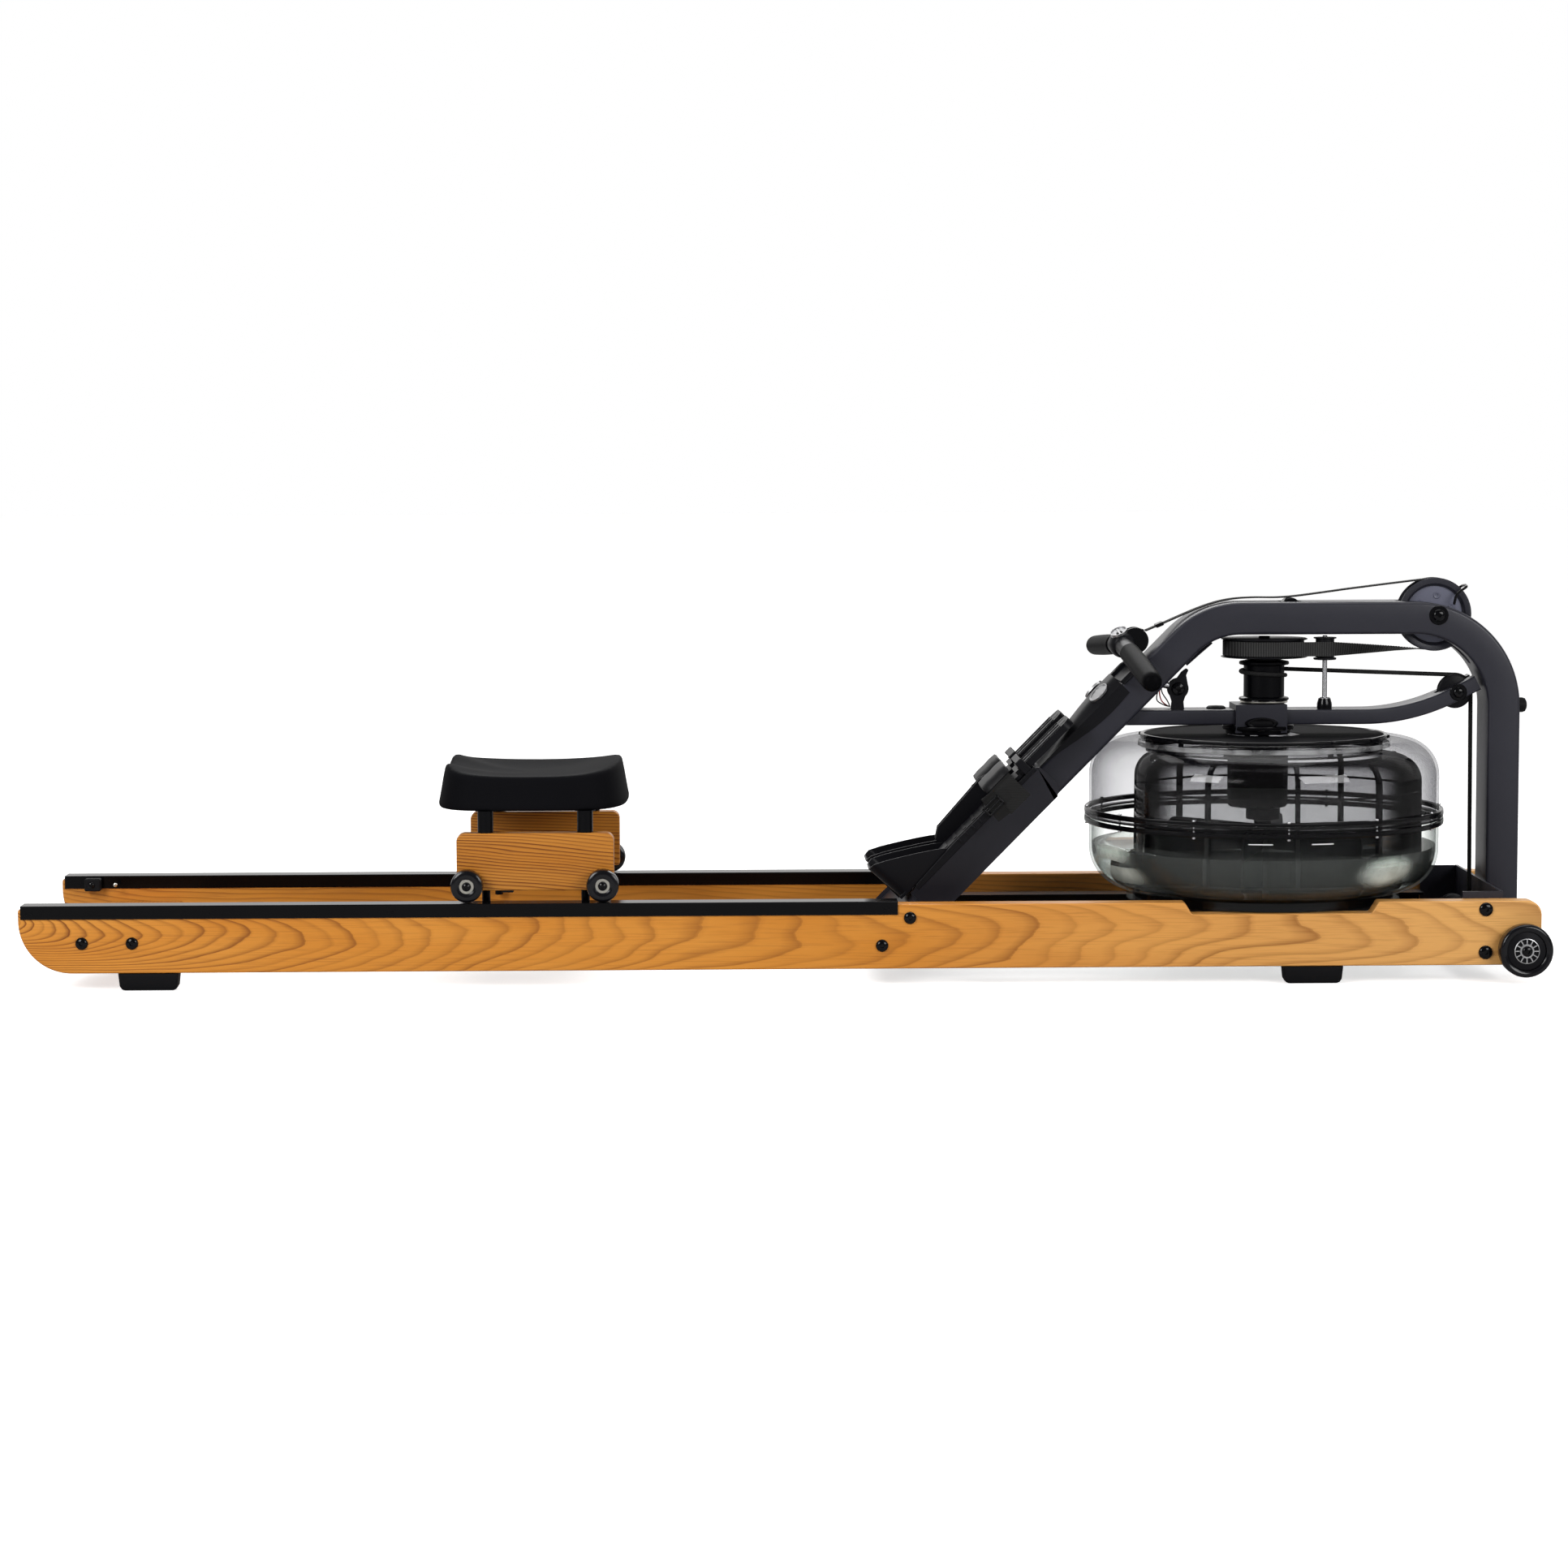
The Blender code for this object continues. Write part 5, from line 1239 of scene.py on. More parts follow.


# Bearing, half angle, middle height, half height and sag of each painted highlight patch.
PAINTED_HIGHLIGHTS = ((308, 20, 0.152, 0.023, 0.006), (205, 15, 0.14, 0.012, 0.004), (200, 13, 0.17, 0.01, -0.004))
for index, patch in enumerate(PAINTED_HIGHLIGHTS):
    wall, centre = highlight_patch(*patch)
    add(f"painted_bowl_highlight_{index}", wall, "bowl_highlight", at=(TANK_X + centre.x, centre.y, centre.z))

seals = []
for low, high in (
    (FLANGE_BOTTOM - 0.0034, FLANGE_BOTTOM + 0.0036), (FLANGE_TOP - 0.0038, FLANGE_TOP + 0.0036),
):
    bead = [
        (TANK_R + 0.0004, low + 0.0006), (FLANGE_R - 0.0014, low), (FLANGE_R - 0.0003, low + 0.001),
        (FLANGE_R - 0.0003, high - 0.001), (FLANGE_R - 0.0014, high), (TANK_R + 0.0004, high - 0.0006),
    ]
    seals.append(turned(bead, "Z", 128))
bead = [
    (FLANGE_R - 0.0012, FLANGE_BOTTOM + 0.0058), (FLANGE_R - 0.0012, FLANGE_TOP - 0.0062),
    (TANK_R - 0.004, FLANGE_TOP - 0.0062), (TANK_R - 0.004, FLANGE_BOTTOM + 0.0058),
]
seals.append(turned(bead, "Z", 128))
add("tank_seal_rings", seals, "track", "base", ["tank_gasket"], TANK_AT)

screws = []
for i in range(12):
    angle = radians(30 * i - 90)
    spot = (FLANGE_SCREW_R * cos(angle), FLANGE_SCREW_R * sin(angle), 0)
    for up, start in ((1, FLANGE_TOP + 0.0036), (-1, FLANGE_BOTTOM - 0.0034)):
        head = [
            (0, start), (0.0024, start), (0.0026, start + up * 0.0008), (0.0022, start + up * 0.002),
            (0, start + up * 0.0024),
        ]
        screws.append(moved(turned(head, "Z", 16), spot))
    screws.append(moved(rod(0.0013, FLANGE_BOTTOM + 0.0004, FLANGE_TOP - 0.0004, 12, "Z"), spot))
add("tank_flange_screws", screws, "steel", at=TANK_AT)

rim = [
    (0.1735, TANK_TOP - 0.004), (0.1735, TANK_TOP + 0.001), (0.1722, TANK_TOP + 0.0022),
    (0.169, TANK_TOP + 0.0022), (0.168, TANK_TOP + 0.001), (0.168, TANK_TOP + 0.0001),
    (0.1712, TANK_TOP - 0.004),
]
disc = [
    (TOP_DISC_R, TANK_TOP + 0.0002), (TOP_DISC_R, TANK_TOP + 0.0006), (0.051, TANK_TOP + 0.0006),
    (0.051, TANK_TOP + 0.0002),
]
skirt = [(0.1655, 0.3045), (0.1655, 0.3075), (0.164, 0.3075), (0.164, 0.3045)]
add(
    "tank_top_rim", merged(turned(rim, "Z", 96), turned(skirt, "Z", 96)), "gloss", at=TANK_AT,
)
add("tank_top_disc", turned(disc, "Z", 96), "matt", at=TANK_AT)
tabs = []
for i in range(14):
    tab = merged(
        box(0.1636, 0.1664, -0.0042, 0.0042, 0.305, TANK_TOP - 0.0042),
        box(0.17, 0.1762, -0.0036, 0.0036, TANK_TOP - 0.003, TANK_TOP + 0.0016),
    )
    tabs.append(moved(tab, turn=(0, 0, 2 * pi * (i + 0.5) / 14)))
add("tank_top_tabs", tabs, "gloss", at=TANK_AT, bevel=0.0008)
skirt = [(0.1648, 0.306), (0.1648, TANK_TOP - 0.0045)]
add("tank_top_skirt", turned(skirt, "Z", 96, skin=True), "smoked", at=TANK_AT)

# This ring's pale colour is a painted highlight for the light reflected in the clear shell's step.
step = [(0.1752, 0.312), (0.1766, 0.3128), (0.1768, 0.318), (0.1752, 0.319)]
add("tank_top_step_highlight", turned(step, "Z", 96), "rim_highlight", at=TANK_AT)

DRUM_AT = (TANK_X + 0.019, 0, 0)
shoulder = arc(0.167, 0.27, 0.03, 0, 90, 12)
drum = [(0.1955, 0.129), (0.197, 0.132)] + shoulder + [(0.148, 0.3)]
add(
    "tank_inner_drum", turned(drum, "Z", 96, skin=True), "smoked", "base", ["tank_baffle"],
    DRUM_AT,
)
ribs = []
for i in range(10):
    angle = radians(36 * i + 18)
    outline = [(0.1962, 0.136), (0.203, 0.136), (0.205, 0.14)] + arc(0.167, 0.266, 0.037, 0, 60, 8)
    outline += list(reversed(arc(0.167, 0.269, 0.029, 0, 70, 8)))
    ribs.append(moved(prism(outline, -0.0032, 0.0032), turn=(0, 0, angle)))
for level, radius in ((0.215, 0.1975), (0.252, 0.1973), (0.1345, 0.1973)):
    hoop = [
        (radius, level - 0.0018), (radius + 0.0035, level - 0.001), (radius + 0.0035, level + 0.001),
        (radius, level + 0.0018),
    ]
    ribs.append(turned(hoop, "Z", 96))
add("drum_ribs", ribs, "gloss", at=DRUM_AT, bevel=0.0009)

sleeve = [(0.027, 0.226), (0.04, 0.226), (0.0425, 0.229), (0.0425, 0.316), (0.04, 0.322), (0.027, 0.322)]
add("inner_bearing_sleeve", turned(sleeve, "Z", 64), "gloss", at=HOUSING_AT)
spigot = [
    (0.0, 0.142), (0.0085, 0.142), (0.0085, 0.166), (0.011, 0.167), (0.011, 0.17), (0.0075, 0.171),
    (0.0075, 0.183), (0, 0.183),
]
add("tank_spigot", turned(spigot, "Z", 40), "clear", at=(TANK_X - 0.002, -0.2155, 0))
liner = [(0.1806, 0.0975), (0.183, 0.0975), (0.183, 0.1088), (0.1806, 0.1088)]
add("tank_foot_liner", turned(liner, "Z", 96), "gloss", at=TANK_AT)

shaft = [
    (0, 0.122), (0.012, 0.122), (0.012, 0.206), (0.024, 0.208), (0.024, 0.223), (0.012, 0.224),
    (0.012, 0.3), (0.008, 0.302), (0.008, 0.4655), (0.007, 0.4662), (0, 0.4662),
]
blades = [turned(shaft, "Z", 32)]
for i in range(6):
    outline = [(0.01, 0.13), (0.16, 0.13)] + arc(0.16, 0.145, 0.015, -90, 0, 5)[1:]
    outline += arc(0.16, 0.185, 0.015, 0, 90, 5) + [(0.01, 0.2)]
    blades.append(moved(prism(outline, -0.002, 0.002), turn=(0, 0, radians(60 * i + 13))))
add(
    "impeller_paddles", blades, "plastic", "impeller", ["impeller"], TANK_AT,
    bevel=0.0006,
)

line = []
stroke = [
    (TANK_R + r, z)
    for r, z in ((0.0003, 0.1964), (0.0003, 0.1978), (0.0001, 0.1978), (0.0001, 0.1964))
]
for start, end in ((-102.6, -94.9), (-82.5, -75.3)):
    rings = []
    for k in range(17):
        angle = radians(start + (end - start) * k / 16)
        rings.append([(r * cos(angle), r * sin(angle), z) for r, z in stroke])
    line.append(loft(rings))
add("tank_level_line", line, "white", at=TANK_AT)

# Bearing housing and hub --------------------------------------------------------------------------

flange = [
    (0.0104, 0.329), (0.044, 0.329), (0.0452, 0.33), (0.0452, 0.3348), (0.049, 0.3352), (0.05, 0.3362),
    (0.05, 0.3398), (0.049, 0.3408), (0.044, 0.3411), (0.04, 0.3418), (0.0104, 0.3418),
]
block = box(-0.036, 0.036, -0.036, 0.036, 0.332, 0.3715)
add(
    "bearing_block", turned(flange, "Z", 72), "gloss", "base", ["bearing_housing"],
    HOUSING_AT,
)
housing = add("bearing_box", block, "powder", at=HOUSING_AT)
cut(
    housing,
    moved(box(-0.06, 0.06, -0.0303, 0.0303, BELLY_Z - 0.0108, BELLY_Z + 0.0108), (TANK_X, 0, 0)),
    moved(rod(0.01, 0.31, 0.4, 40, "Z"), (TANK_X, 0, 0)),
)
dish = [
    (0.0, 0.0), (0.023, 0.0), (0.023, 0.003), (0.02, 0.006), (0.017, 0.006), (0.0155, 0.003), (0.0, 0.0026),
]
for label, side in SIDES:
    boss = turned(dish, "Z", 48)
    bmesh.ops.scale(boss, vec=(1.0, 0.36, 1.0), verts=boss.verts)
    boss = moved(boss, (HOUSING_AT[0], side * 0.0355, 0.3455), (-side * pi / 2, 0, 0))
    add(f"{label}_bearing_boss", boss, "gloss")


def toothed(depth, radius_now):
    """Every other pair of points of the rings at one radius is pushed out, as fine ribs."""

    def shape(i, radius):
        return radius + depth if abs(radius - radius_now) < 1e-6 and i % 4 in (0, 1) else radius

    return shape


HUB_R = 0.0556
hub = [(0.0083, 0.4365), (0.059, 0.4365), (0.0605, 0.4372), (0.0605, 0.438), (0.059, 0.4386)]
hub += [
    (HUB_R - 0.0006, 0.4386), (HUB_R - 0.0006, 0.4614), (0.059, 0.4614), (0.0605, 0.462), (0.0605, 0.4628),
    (0.059, 0.4635), (0.0083, 0.4635),
]
add(
    "hub_belt_disc", turned(hub, "Z", 240, toothed(0.0009, HUB_R - 0.0006)), "plastic", "drive_hub",
    ["drive_hub"], TANK_AT,
)
spool = [
    (0.0083, 0.3755), (0.02, 0.3755), (0.034, 0.3762), (0.035, 0.3772), (0.035, 0.3792), (0.034, 0.3802),
    (0.0285, 0.3815), (0.0285, 0.425),
]
spool += [
    (0.034, 0.4262), (0.035, 0.4272), (0.035, 0.43), (0.034, 0.431), (0.024, 0.433), (0.024, 0.4366),
    (0.0083, 0.4366),
]
add("hub_spool", turned(spool, "Z", 96), "post", "drive_hub", at=TANK_AT)
ring = [(0.024, 0.3728), (0.033, 0.3728), (0.0338, 0.3736), (0.033, 0.3752), (0.024, 0.3752)]
add("hub_bearing_ring", turned(ring, "Z", 72), "zinc", "drive_hub", at=TANK_AT)

# Tensioner ----------------------------------------------------------------------------------------

TENSIONER = (1.8053, -0.0185, 0)
post = [(0, 0.3645), (0.0098, 0.3645), (0.0098, 0.37), (0.0082, 0.3705), (0.008, 0.38), (0.0072, 0.3808)]
post += [(0.0034, 0.381), (0.0034, 0.432), (0.0034, 0.467), (0.0028, 0.4676), (0, 0.4676)]
add(
    "tensioner_shaft", turned(post, "Z", 48), "steel", "base", ["tensioner_post"],
    TENSIONER,
)
nut = [(0.0036, 0.3642), (0.0105, 0.3642), (0.0105, 0.372), (0.0085, 0.379), (0.0036, 0.379)]
add("tensioner_nut", turned(nut, "Z", 48), "gloss", at=TENSIONER)
wheel = [
    (0.0037, 0.4335), (0.015, 0.4335), (0.016, 0.4342), (0.016, 0.4362), (0.013, 0.4375), (0.013, 0.4625),
    (0.016, 0.4635), (0.016, 0.465), (0.0037, 0.4655),
]
add(
    "tensioner_wheel", turned(wheel, "Z", 64), "plastic", "tensioner_pulley", ["tensioner_pulley"],
    TENSIONER,
)

# Pulleys ------------------------------------------------------------------------------------------

MAIN_GROOVE, BOSS_REACH = 0.0474, 0.0265
MAIN_AT = (MAIN_X, 0, MAIN_Z)
half_web = [(0.0063, 0.012), (0.0125, 0.012), (0.013, 0.0115), (0.0135, 0.0062), (0.0398, 0.006)]
add(
    "main_pulley_web", turned(both_ways(half_web), "Y", 128), "pulley", "main_pulley", at=MAIN_AT,
)
half_rim = [
    (0.0396, 0.005), (0.04, 0.0078), (0.042, 0.009), (0.0434, 0.0128), (0.0442, 0.0132), (0.0506, 0.0132),
    (0.0514, 0.0126), (0.0514, 0.0118), (MAIN_GROOVE, 0.011),
]
add(
    "main_pulley_rim", turned(both_ways(half_rim), "Y", 128), "powder", "main_pulley", ["main_pulley"],
    MAIN_AT,
)
bosses = []
boss_half = [(0.0022, 0.0055), (0.0045, 0.0055), (0.0045, 0.0072), (0.0038, 0.0078), (0.0022, 0.0072)]
for angle in circle(6):
    for side in (-1, 1):
        boss = turned([(r, side * y) for r, y in boss_half], "Y", 24)
        spot = (BOSS_REACH * cos(angle + 0.4), 0, BOSS_REACH * sin(angle + 0.4))
        bosses.append(moved(boss, spot))
add("main_pulley_bosses", bosses, "pulley", "main_pulley", at=MAIN_AT)


def pulley_bolt(name, node, at, washer, head, radius, half, segments):
    """A pulley's bolt through its tube: a rod with a washer and a button head at both ends."""
    face = washer[-1][1]
    pieces = []
    for side in (-1, 1):
        profile = [(0, washer[0][1]), *washer, (0, face)]
        pieces.append(moved(turned([(r, side * y) for r, y in profile], "Y", 48), at))
        pieces.append(button_head((at[0], side * (face - 0.0001), at[2]), side, *head))
    pieces.append(moved(rod(radius, -half, half, segments), at))
    add(name, pieces, "gloss", "base", [node])


washer = [(0.0135, 0.0426), (0.0135, 0.0436), (0.0128, 0.0442)]
pulley_bolt("main_axle_bolt", "main_pulley_axle", MAIN_AT, washer, (0.0086, 0.0038), 0.006, 0.043, 32)

GUIDE_AT = (GUIDE_X, 0, GUIDE_Z)
roller = both_ways([(0, 0.0368), (0.003, 0.0368), (0.003, 0.013), (0.0122, 0.013), (0.013, 0.0122)])
add(
    "guide_roller_drum", turned(roller, "Y", 64), "gloss", "guide_roller", ["guide_roller"],
    GUIDE_AT,
)

half_small = [
    (0.0043, 0.0075), (0.0212, 0.0075), (0.0236, 0.0064), (0.024, 0.0054), (0.0236, 0.0045),
    (0.0198, 0.0036), (0.0192, 0.0022),
]
small = turned(both_ways(half_small), "Y", 96)
add(
    "bungee_wheel", small.copy(), "plastic", "bungee_pulley", ["bungee_pulley"],
    BUNGEE_AT,
)
add(
    "lower_bungee_wheel", small, "plastic", "lower_bungee_pulley", ["lower_bungee_pulley"],
    LOWER_AT,
)
washer = [(0.012, 0.0302), (0.012, 0.0308), (0.0112, 0.0314)]
head = (0.0076, 0.0034, 0.0024)
pulley_bolt("bungee_axle_bolt", "bungee_pulley_axle", BUNGEE_AT, washer, head, 0.004, 0.0306, 24)

# Belt, strap and cord -----------------------------------------------------------------------------

BELT_HALF_WIDTH, BELT_THICKNESS, BELT_Z, WRAP_GAP = 0.01, 0.0018, 0.45, 0.0008
belt_r = HUB_R + WRAP_GAP + BELT_THICKNESS / 2
pulley_belt_r = MAIN_GROOVE + WRAP_GAP + BELT_THICKNESS / 2
lead = atan2(belt_r, MAIN_X - TANK_X)
path, widths = [], []
for i in range(217):
    angle = radians(-90 - (216 - i)) + lead
    path.append(Vector((TANK_X + belt_r * cos(angle), belt_r * sin(angle), BELT_Z)))
    widths.append(Z_WAY)
leave, arrive = path[-1].copy(), Vector((MAIN_X, 0, MAIN_Z - pulley_belt_r))
for i in range(1, 240):
    t = i / 240
    point = leave.lerp(arrive, t)
    point.y = leave.y * max(0.0, 1 - t / 0.78)
    path.append(point)
    turn = acos(1 - min(1.0, max(0.0, (t - 0.34) / 0.6)))
    widths.append(Vector((0, -sin(turn), cos(turn))))
for i in range(176):
    angle = radians(-90 + i)
    path.append(Vector((MAIN_X + pulley_belt_r * cos(angle), 0, MAIN_Z + pulley_belt_r * sin(angle))))
    widths.append(Vector((0, -1, 0)))
add(
    "ribbed_drive_belt", ribbon(path, widths, BELT_HALF_WIDTH, BELT_THICKNESS, 0.0005), "belt", "base",
    ["drive_belt"],
)

strap_points = [
    (1.5545, 0.4746), (1.58, 0.4853), (1.608, 0.4975), (1.626, 0.505), (1.642, 0.5108), (1.657, 0.5152),
    (1.672, 0.5182), (1.688, 0.5199), (1.708, 0.5207), (GUIDE_X, 0.5217), (1.85, 0.5334), (1.944, 0.5447),
    (1.96, 0.5455),
]
strap_path = smooth_path([(x, 0, z) for x, z in strap_points], 10)
strap = add(
    "pull_strap_band", ribbon(strap_path, [Y_WAY] * len(strap_path), BELT_HALF_WIDTH, BELT_THICKNESS),
    "webbing",
)
strap.parent = None
strap.matrix_world = Matrix.Translation((REAR_END, 0, 0))
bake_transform(strap)
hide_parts("pull_strap")
ferrule = moved(
    box(-0.0055, 0.0055, -0.0112, 0.0112, -0.0026, 0.0026), (1.574, 0, 0.483), (0, -radians(23), 0),
)
add("strap_ferrule", ferrule, "gloss", "handle", bevel=0.0006)

CORD_R, SPOOL_R, CORD_Z, BUNGEE_GROOVE = 0.003, 0.0285, 0.4085, 0.0192
wound, over = SPOOL_R + WRAP_GAP + CORD_R, BUNGEE_GROOVE + WRAP_GAP + CORD_R
cord_path = []
for i in range(81):
    angle = radians(330 - 3.0 * i)
    height = CORD_Z + 0.0105 - 0.007 * (1 - i / 80)
    cord_path.append(Vector((TANK_X + wound * cos(angle), wound * sin(angle), height)))
for i in range(25):
    angle = radians(90 - 90 * i / 24)
    cord_path.append(Vector((BUNGEE_X + over * cos(angle), 0, BUNGEE_Z + over * sin(angle))))
for i in range(25):
    angle = radians(-90 * i / 24)
    cord_path.append(Vector((LOWER_X + over * cos(angle), 0, LOWER_Z + over * sin(angle))))
cord_path.append(Vector((1.199, 0, LOWER_Z - over)))
add("bungee_cord_sheath", tube(cord_path, CORD_R, 14), "webbing", "base", ["bungee_cord"])

brace = [Vector((1.612, 0.03, 0.429)), Vector((1.63, 0.03, 0.445)), Vector((1.648, 0.03, 0.4605))]
add("leg_brace", tube(brace, 0.0085, 24), "powder")

guard = smooth_path(
    [
        (1.986, -0.02, 0.51), (1.9905, -0.02, 0.525), (2.003, -0.017, 0.534), (2.0055, -0.005, 0.536),
        (2.0055, 0.005, 0.536), (2.003, 0.017, 0.534), (1.9905, 0.02, 0.525), (1.986, 0.02, 0.51),
    ],
    8,
)
add("pulley_wire_guard", tube(guard, 0.0019, 10), "gloss")

# Sensor -------------------------------------------------------------------------------------------

SENSOR_AT = (1.598, 0, 0.3942)
outline = [(-0.01, -0.0298), (0.009, -0.0298), (0.008, -0.018), (0.01, -0.012)]
outline += arc(0, 0, 0.015, -45, 20, 8)
outline += [(0.0115, 0.019), (0.0148, 0.0262), (0.0118, 0.0285), (0.005, 0.0236)]
outline += arc(0, 0, 0.015, 95, 222, 14) + [(-0.0085, -0.018)]
add(
    "sensor_plate", prism(outline, -0.028, -0.02), "plastic", "base", ["sensor_bracket"],
    SENSOR_AT, bevel=0.001,
)
sensor_cap = [
    (0, -0.024), (0.009, -0.024), (0.009, -0.03), (0.0078, -0.0316), (0.004, -0.0324), (0.0036, -0.0306),
    (0, -0.0304),
]
add("sensor_head", turned(sensor_cap, "Y", 48), "gloss", at=SENSOR_AT)
plug = turned([(0, 0), (0.0048, 0), (0.0048, 0.009), (0.0036, 0.01), (0.0036, 0.013), (0, 0.013)], "Z", 24)
add(
    "sensor_fitting", moved(plug, (1.585, -0.0255, 0.3985), (0, -radians(78), 0)), "steel",
)
WIRES = (("red", 0.0), ("gloss", 0.004), ("gloss", -0.003))
for index, (look, bow) in enumerate(WIRES):
    wire = smooth_path(
        [
            (1.574, -0.0255 + 0.0012 * index, 0.399), (1.5725 + bow, -0.0235, 0.388),
            (1.576 + 2 * bow, -0.018, 0.377), (1.584 + bow, -0.01, 0.37), (1.59, 0.0, 0.3672),
        ],
        6,
    )
    add(f"sensor_wire_{index}", tube(wire, 0.0009, 8), look)

# Seat ---------------------------------------------------------------------------------------------

SEAT_X, SEAT_BASE, PAD_BASE = 0.702, 0.2405, 0.2393
SEAT_HALF_LENGTH, SEAT_HALF_WIDTH = 0.1315, 0.158
POST_Y, ROLLER_Y = 0.1495, 0.1773
BLOCK_TOP, BLOCK_BOTTOM, BLOCK_HALF = 0.2096, 0.131, 0.1076
ROLLER_R, ROLLER_Z, ROLLER_REACH, POST_REACH = 0.0222, 0.1394, 0.0927, 0.0681
SEAT_AT = (SEAT_X, 0, 0)
# Each corner of a seat block: X and Z of its middle, radius, start angle and steps.
BLOCK_CORNERS = (
    (BLOCK_HALF - 0.011, BLOCK_TOP - 0.011, 0.011, 0, 10),
    (0.011 - BLOCK_HALF, BLOCK_TOP - 0.011, 0.011, 90, 10),
    (0.003 - BLOCK_HALF, BLOCK_BOTTOM + 0.003, 0.003, 180, 3),
    (BLOCK_HALF - 0.003, BLOCK_BOTTOM + 0.003, 0.003, 270, 3),
)


def seat_ring(inset, height, lift):
    """One level outline of the pad, raised at its rear lobes and its front edge."""
    half_x, half_y = SEAT_HALF_LENGTH - inset, SEAT_HALF_WIDTH - inset
    ring = []
    for angle in circle(144):
        c, s = cos(angle), sin(angle)
        u, v = copysign(abs(c) ** 0.45, c), copysign(abs(s) ** 0.45, s)
        lobe = exp(-(((abs(v) - 0.55) / 0.35) ** 2))
        rear, front = max(-u, 0.0) ** 2.2, max(u, 0.0) ** 2.2
        rise = (0.005 + 0.012 * lobe) * rear + (0.007 + 0.012 * (1 - v * v)) * front
        rise *= (half_x / SEAT_HALF_LENGTH) ** 2
        x = u * half_x - 0.0065 - 0.013 * max(u, 0.0) * v * v
        ring.append((x, v * half_y, PAD_BASE + height + lift * rise))
    return ring


# Each ring of the pad: how far it lies inside the edge, its height, and its share of the swell.
SEAT_ROWS = (
    (0.009, 0.0004, 0.0), (0.0045, 0.0001, 0.0), (0.0016, 0.001, 0.0), (0.0003, 0.003, 0.01),
    (0.0, 0.0052, 0.04), (0.001, 0.009, 0.12), (0.0036, 0.02, 0.32), (0.006, 0.0305, 0.58),
    (0.008, 0.038, 0.76), (0.009, 0.0412, 0.86), (0.0104, 0.0438, 0.93), (0.0125, 0.0453, 0.97),
    (0.0155, 0.046, 0.99), (0.02, 0.0458, 1.0), (0.028, 0.0449, 1.0), (0.04, 0.0435, 1.0),
    (0.055, 0.042, 1.0), (0.072, 0.0408, 1.0), (0.09, 0.0401, 1.0), (0.105, 0.0399, 1.0),
    (0.12, 0.0399, 1.0),
)
seat_rings = [seat_ring(*row) for row in SEAT_ROWS]
seat = add("seat_cushion", loft(seat_rings), "seat", "seat", ["seat_pad"], SEAT_AT, sharp=60)

plate = [box(-0.095, 0.095, -0.1, 0.1, SEAT_BASE - 0.0043, SEAT_BASE - 0.0003)]
for end in (-1, 1):
    x = end * POST_REACH
    plate.append(box(x - 0.014, x + 0.014, -0.146, 0.146, SEAT_BASE - 0.0024, SEAT_BASE - 0.0006))
posts = []
post = [
    (0, 0.088), (0.0052, 0.088), (0.0058, 0.089), (0.0058, BLOCK_TOP + 0.0003),
    (0.0108, BLOCK_TOP + 0.0003), (0.0108, SEAT_BASE - 0.0008), (0, SEAT_BASE - 0.0008),
]
for side in (-1, 1):
    for end in (-1, 1):
        posts.append(moved(turned(post, "Z", 40), (end * POST_REACH, side * POST_Y, 0)))
add("seat_plate", plate, "powder", "seat", ["seat_frame"], SEAT_AT, bevel=0.0008)
add("seat_posts", posts, "post", "seat", at=SEAT_AT)

for label, side in SIDES:
    outline = []
    for x, z, radius, start, steps in BLOCK_CORNERS:
        outline += arc(x, z, radius, start, start + 90, steps)
    ash = prism(outline, *span(side, 0.137, 0.162))
    add(
        f"{label}_ash_block", ash, "block", "seat", [f"{label}_seat_block"], SEAT_AT, bevel=0.0016,
        segments=3,
    )
    catch = box(-0.046, -0.03, *span(side, 0.142, 0.156), BLOCK_BOTTOM - 0.0035, BLOCK_BOTTOM + 0.001)
    add(f"{label}_block_catch", catch, "gloss", "seat", at=SEAT_AT, bevel=0.0012)
    for end, name in ENDS:
        at = (SEAT_X + end * ROLLER_REACH, side * ROLLER_Y, ROLLER_Z)
        body = f"{label}_{name}_roller"
        tread = [
            (0.01, 0.0098), (0.0128, 0.011), (ROLLER_R - 0.0034, 0.011), (ROLLER_R - 0.001, 0.0096),
            (ROLLER_R, 0.007),
        ]
        add(f"{body}_tread", turned(both_ways(tread), "Y", 80), "tyre", body, [body], at)
        ring = both_ways([(0.0064, 0.0108), (0.0096, 0.0108), (0.0101, 0.0102)])
        add(f"{body}_bearing", turned(ring, "Y", 56), "zinc", body, at=at)

for end, name in ENDS:
    at = (SEAT_X + end * ROLLER_REACH, 0, ROLLER_Z)
    heads = [rod(0.005, -0.1885, 0.1885)]
    for side in (-1, 1):
        heads.append(button_head((0, side * 0.1884, 0), side, 0.0062, 0.0036, 0.0024))
    add(f"{name}_axle_bolt", heads, "gloss", "seat", [f"{name}_seat_axle"], at)

# Handle -------------------------------------------------------------------------------------------

HANDLE_AT = (1.523, 0, 0.456)
HANDLE_TURN = (radians(2.75), 0.0, radians(3.6))
GRIP_DROOP = radians(6.4)


def drooped(profile, side):
    """One half of the handle, drooping outwards."""
    bm = turned([(r, side * along) for r, along in profile], "Y", 48)
    bmesh.ops.transform(bm, matrix=Matrix.Rotation(-side * GRIP_DROOP, 4, "X"), verts=bm.verts)
    return bm


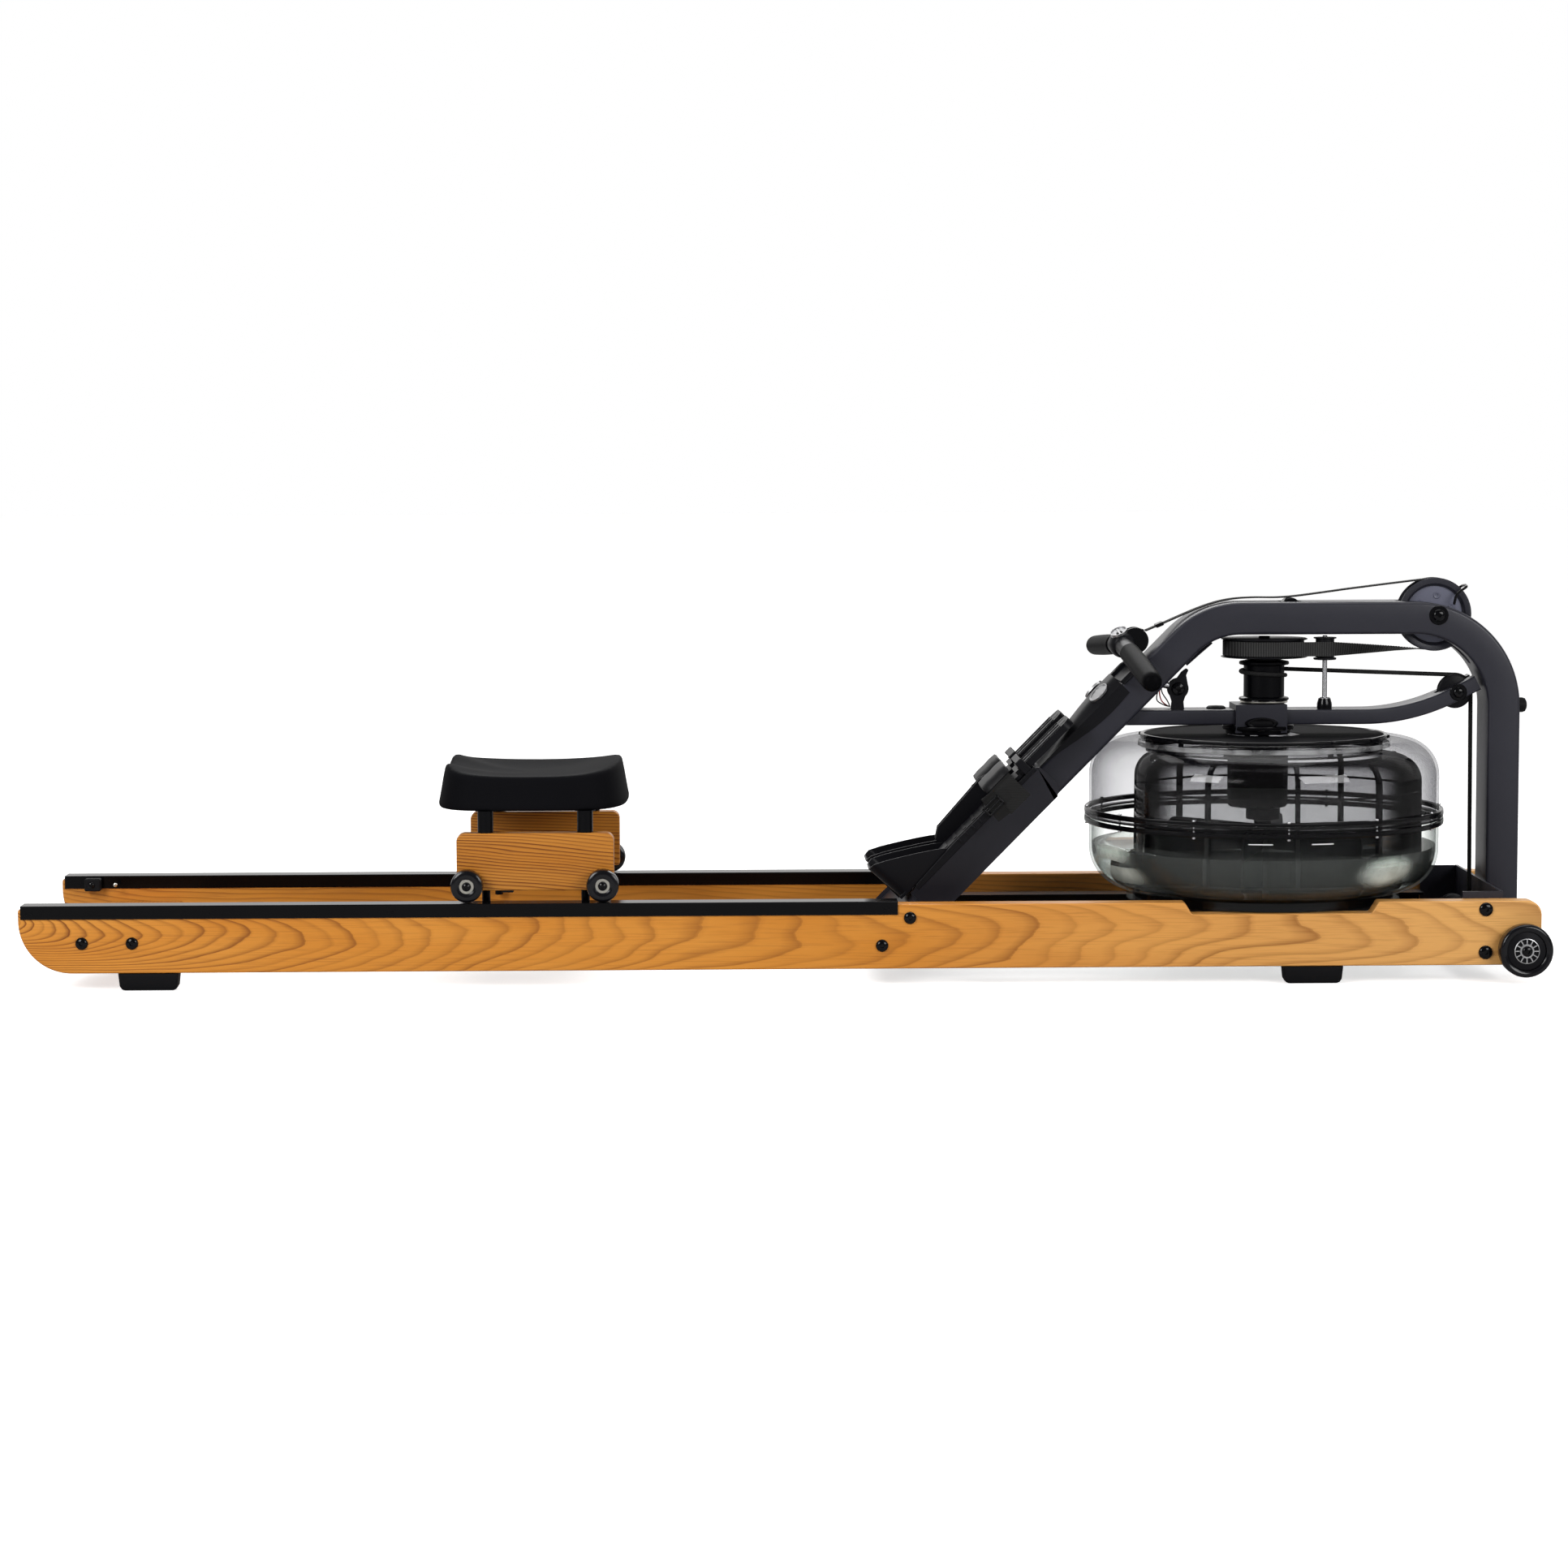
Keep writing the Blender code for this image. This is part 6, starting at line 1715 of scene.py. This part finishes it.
centre = [
    (0, -0.02), (0.011, -0.019), (0.0168, -0.0145), (0.0194, -0.007), (0.0198, 0.0), (0.0194, 0.007),
    (0.0168, 0.0145), (0.011, 0.019), (0, 0.02),
]
core = [turned(centre, "Y", 48)]
half_core = [
    (0, 0.0), (0.0146, 0.0), (0.014, 0.012), (0.0131, 0.03), (0.0127, 0.048), (0.0125, 0.0597),
    (0.008, 0.0597), (0.008, 0.235), (0, 0.235),
]
for side in (-1, 1):
    core.append(drooped(half_core, side))
add("handle_bar", core, "plastic", "handle", ["handle_core"], HANDLE_AT, HANDLE_TURN)
clevis = []
for low, high in ((-0.015, -0.0095), (0.0095, 0.015)):
    cheek = arc(0.0165, 0.005, 0.0185, -75, 100, 16) + [(0.006, 0.021), (0.002, 0.013), (0.006, -0.004)]
    clevis.append(prism(cheek, low, high))
clevis.append(box(0.004, 0.016, -0.012, 0.012, -0.002, 0.019))
clevis.append(moved(rod(0.0026, -0.0138, 0.0138), (0.026, 0, 0.019)))
add("handle_clevis", clevis, "gloss", "handle", at=HANDLE_AT, bevel=0.0006)
for label, side in SIDES:
    grip = [
        (0, 0.2353), (0.0083, 0.2353), (0.0083, 0.06), (0.0122, 0.06), (0.0138, 0.0606), (0.0143, 0.0625),
    ]
    grip += [(0.0142 + 0.0006 * sin(pi * k / 10), 0.066 + 0.0165 * k) for k in range(11)]
    grip += [
        (0.014, 0.237), (0.0135, 0.241), (0.0124, 0.2452), (0.0104, 0.2482), (0.007, 0.2502),
        (0.0035, 0.251), (0, 0.2512),
    ]
    add(
        f"{label}_foam_grip", drooped(grip, side), "grip", "handle", [f"{label}_grip"],
        HANDLE_AT, HANDLE_TURN,
    )
plate = moved(badge(0.0125, 0.011, 0.005), (-0.006, -0.006, 0.015), (radians(20.5), -radians(21.9), 0))
add("handle_badge", plate, "badge", "handle", at=HANDLE_AT, turn=HANDLE_TURN)

# CAD nodes that keep their own shape --------------------------------------------------------------

KEPT = {
    "beam": ["rear_crossbeam"],
    "track": ["near_track", "far_track"],
    "bar": ["near_base_bar", "far_base_bar"],
    "powder": ["front_crossmember"],
    "rubber": ["near_end_stop", "far_end_stop"],
}
for look, names in KEPT.items():
    for name in names:
        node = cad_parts[name]
        node.data.materials.clear()
        node.data.materials.append(LOOK[look])
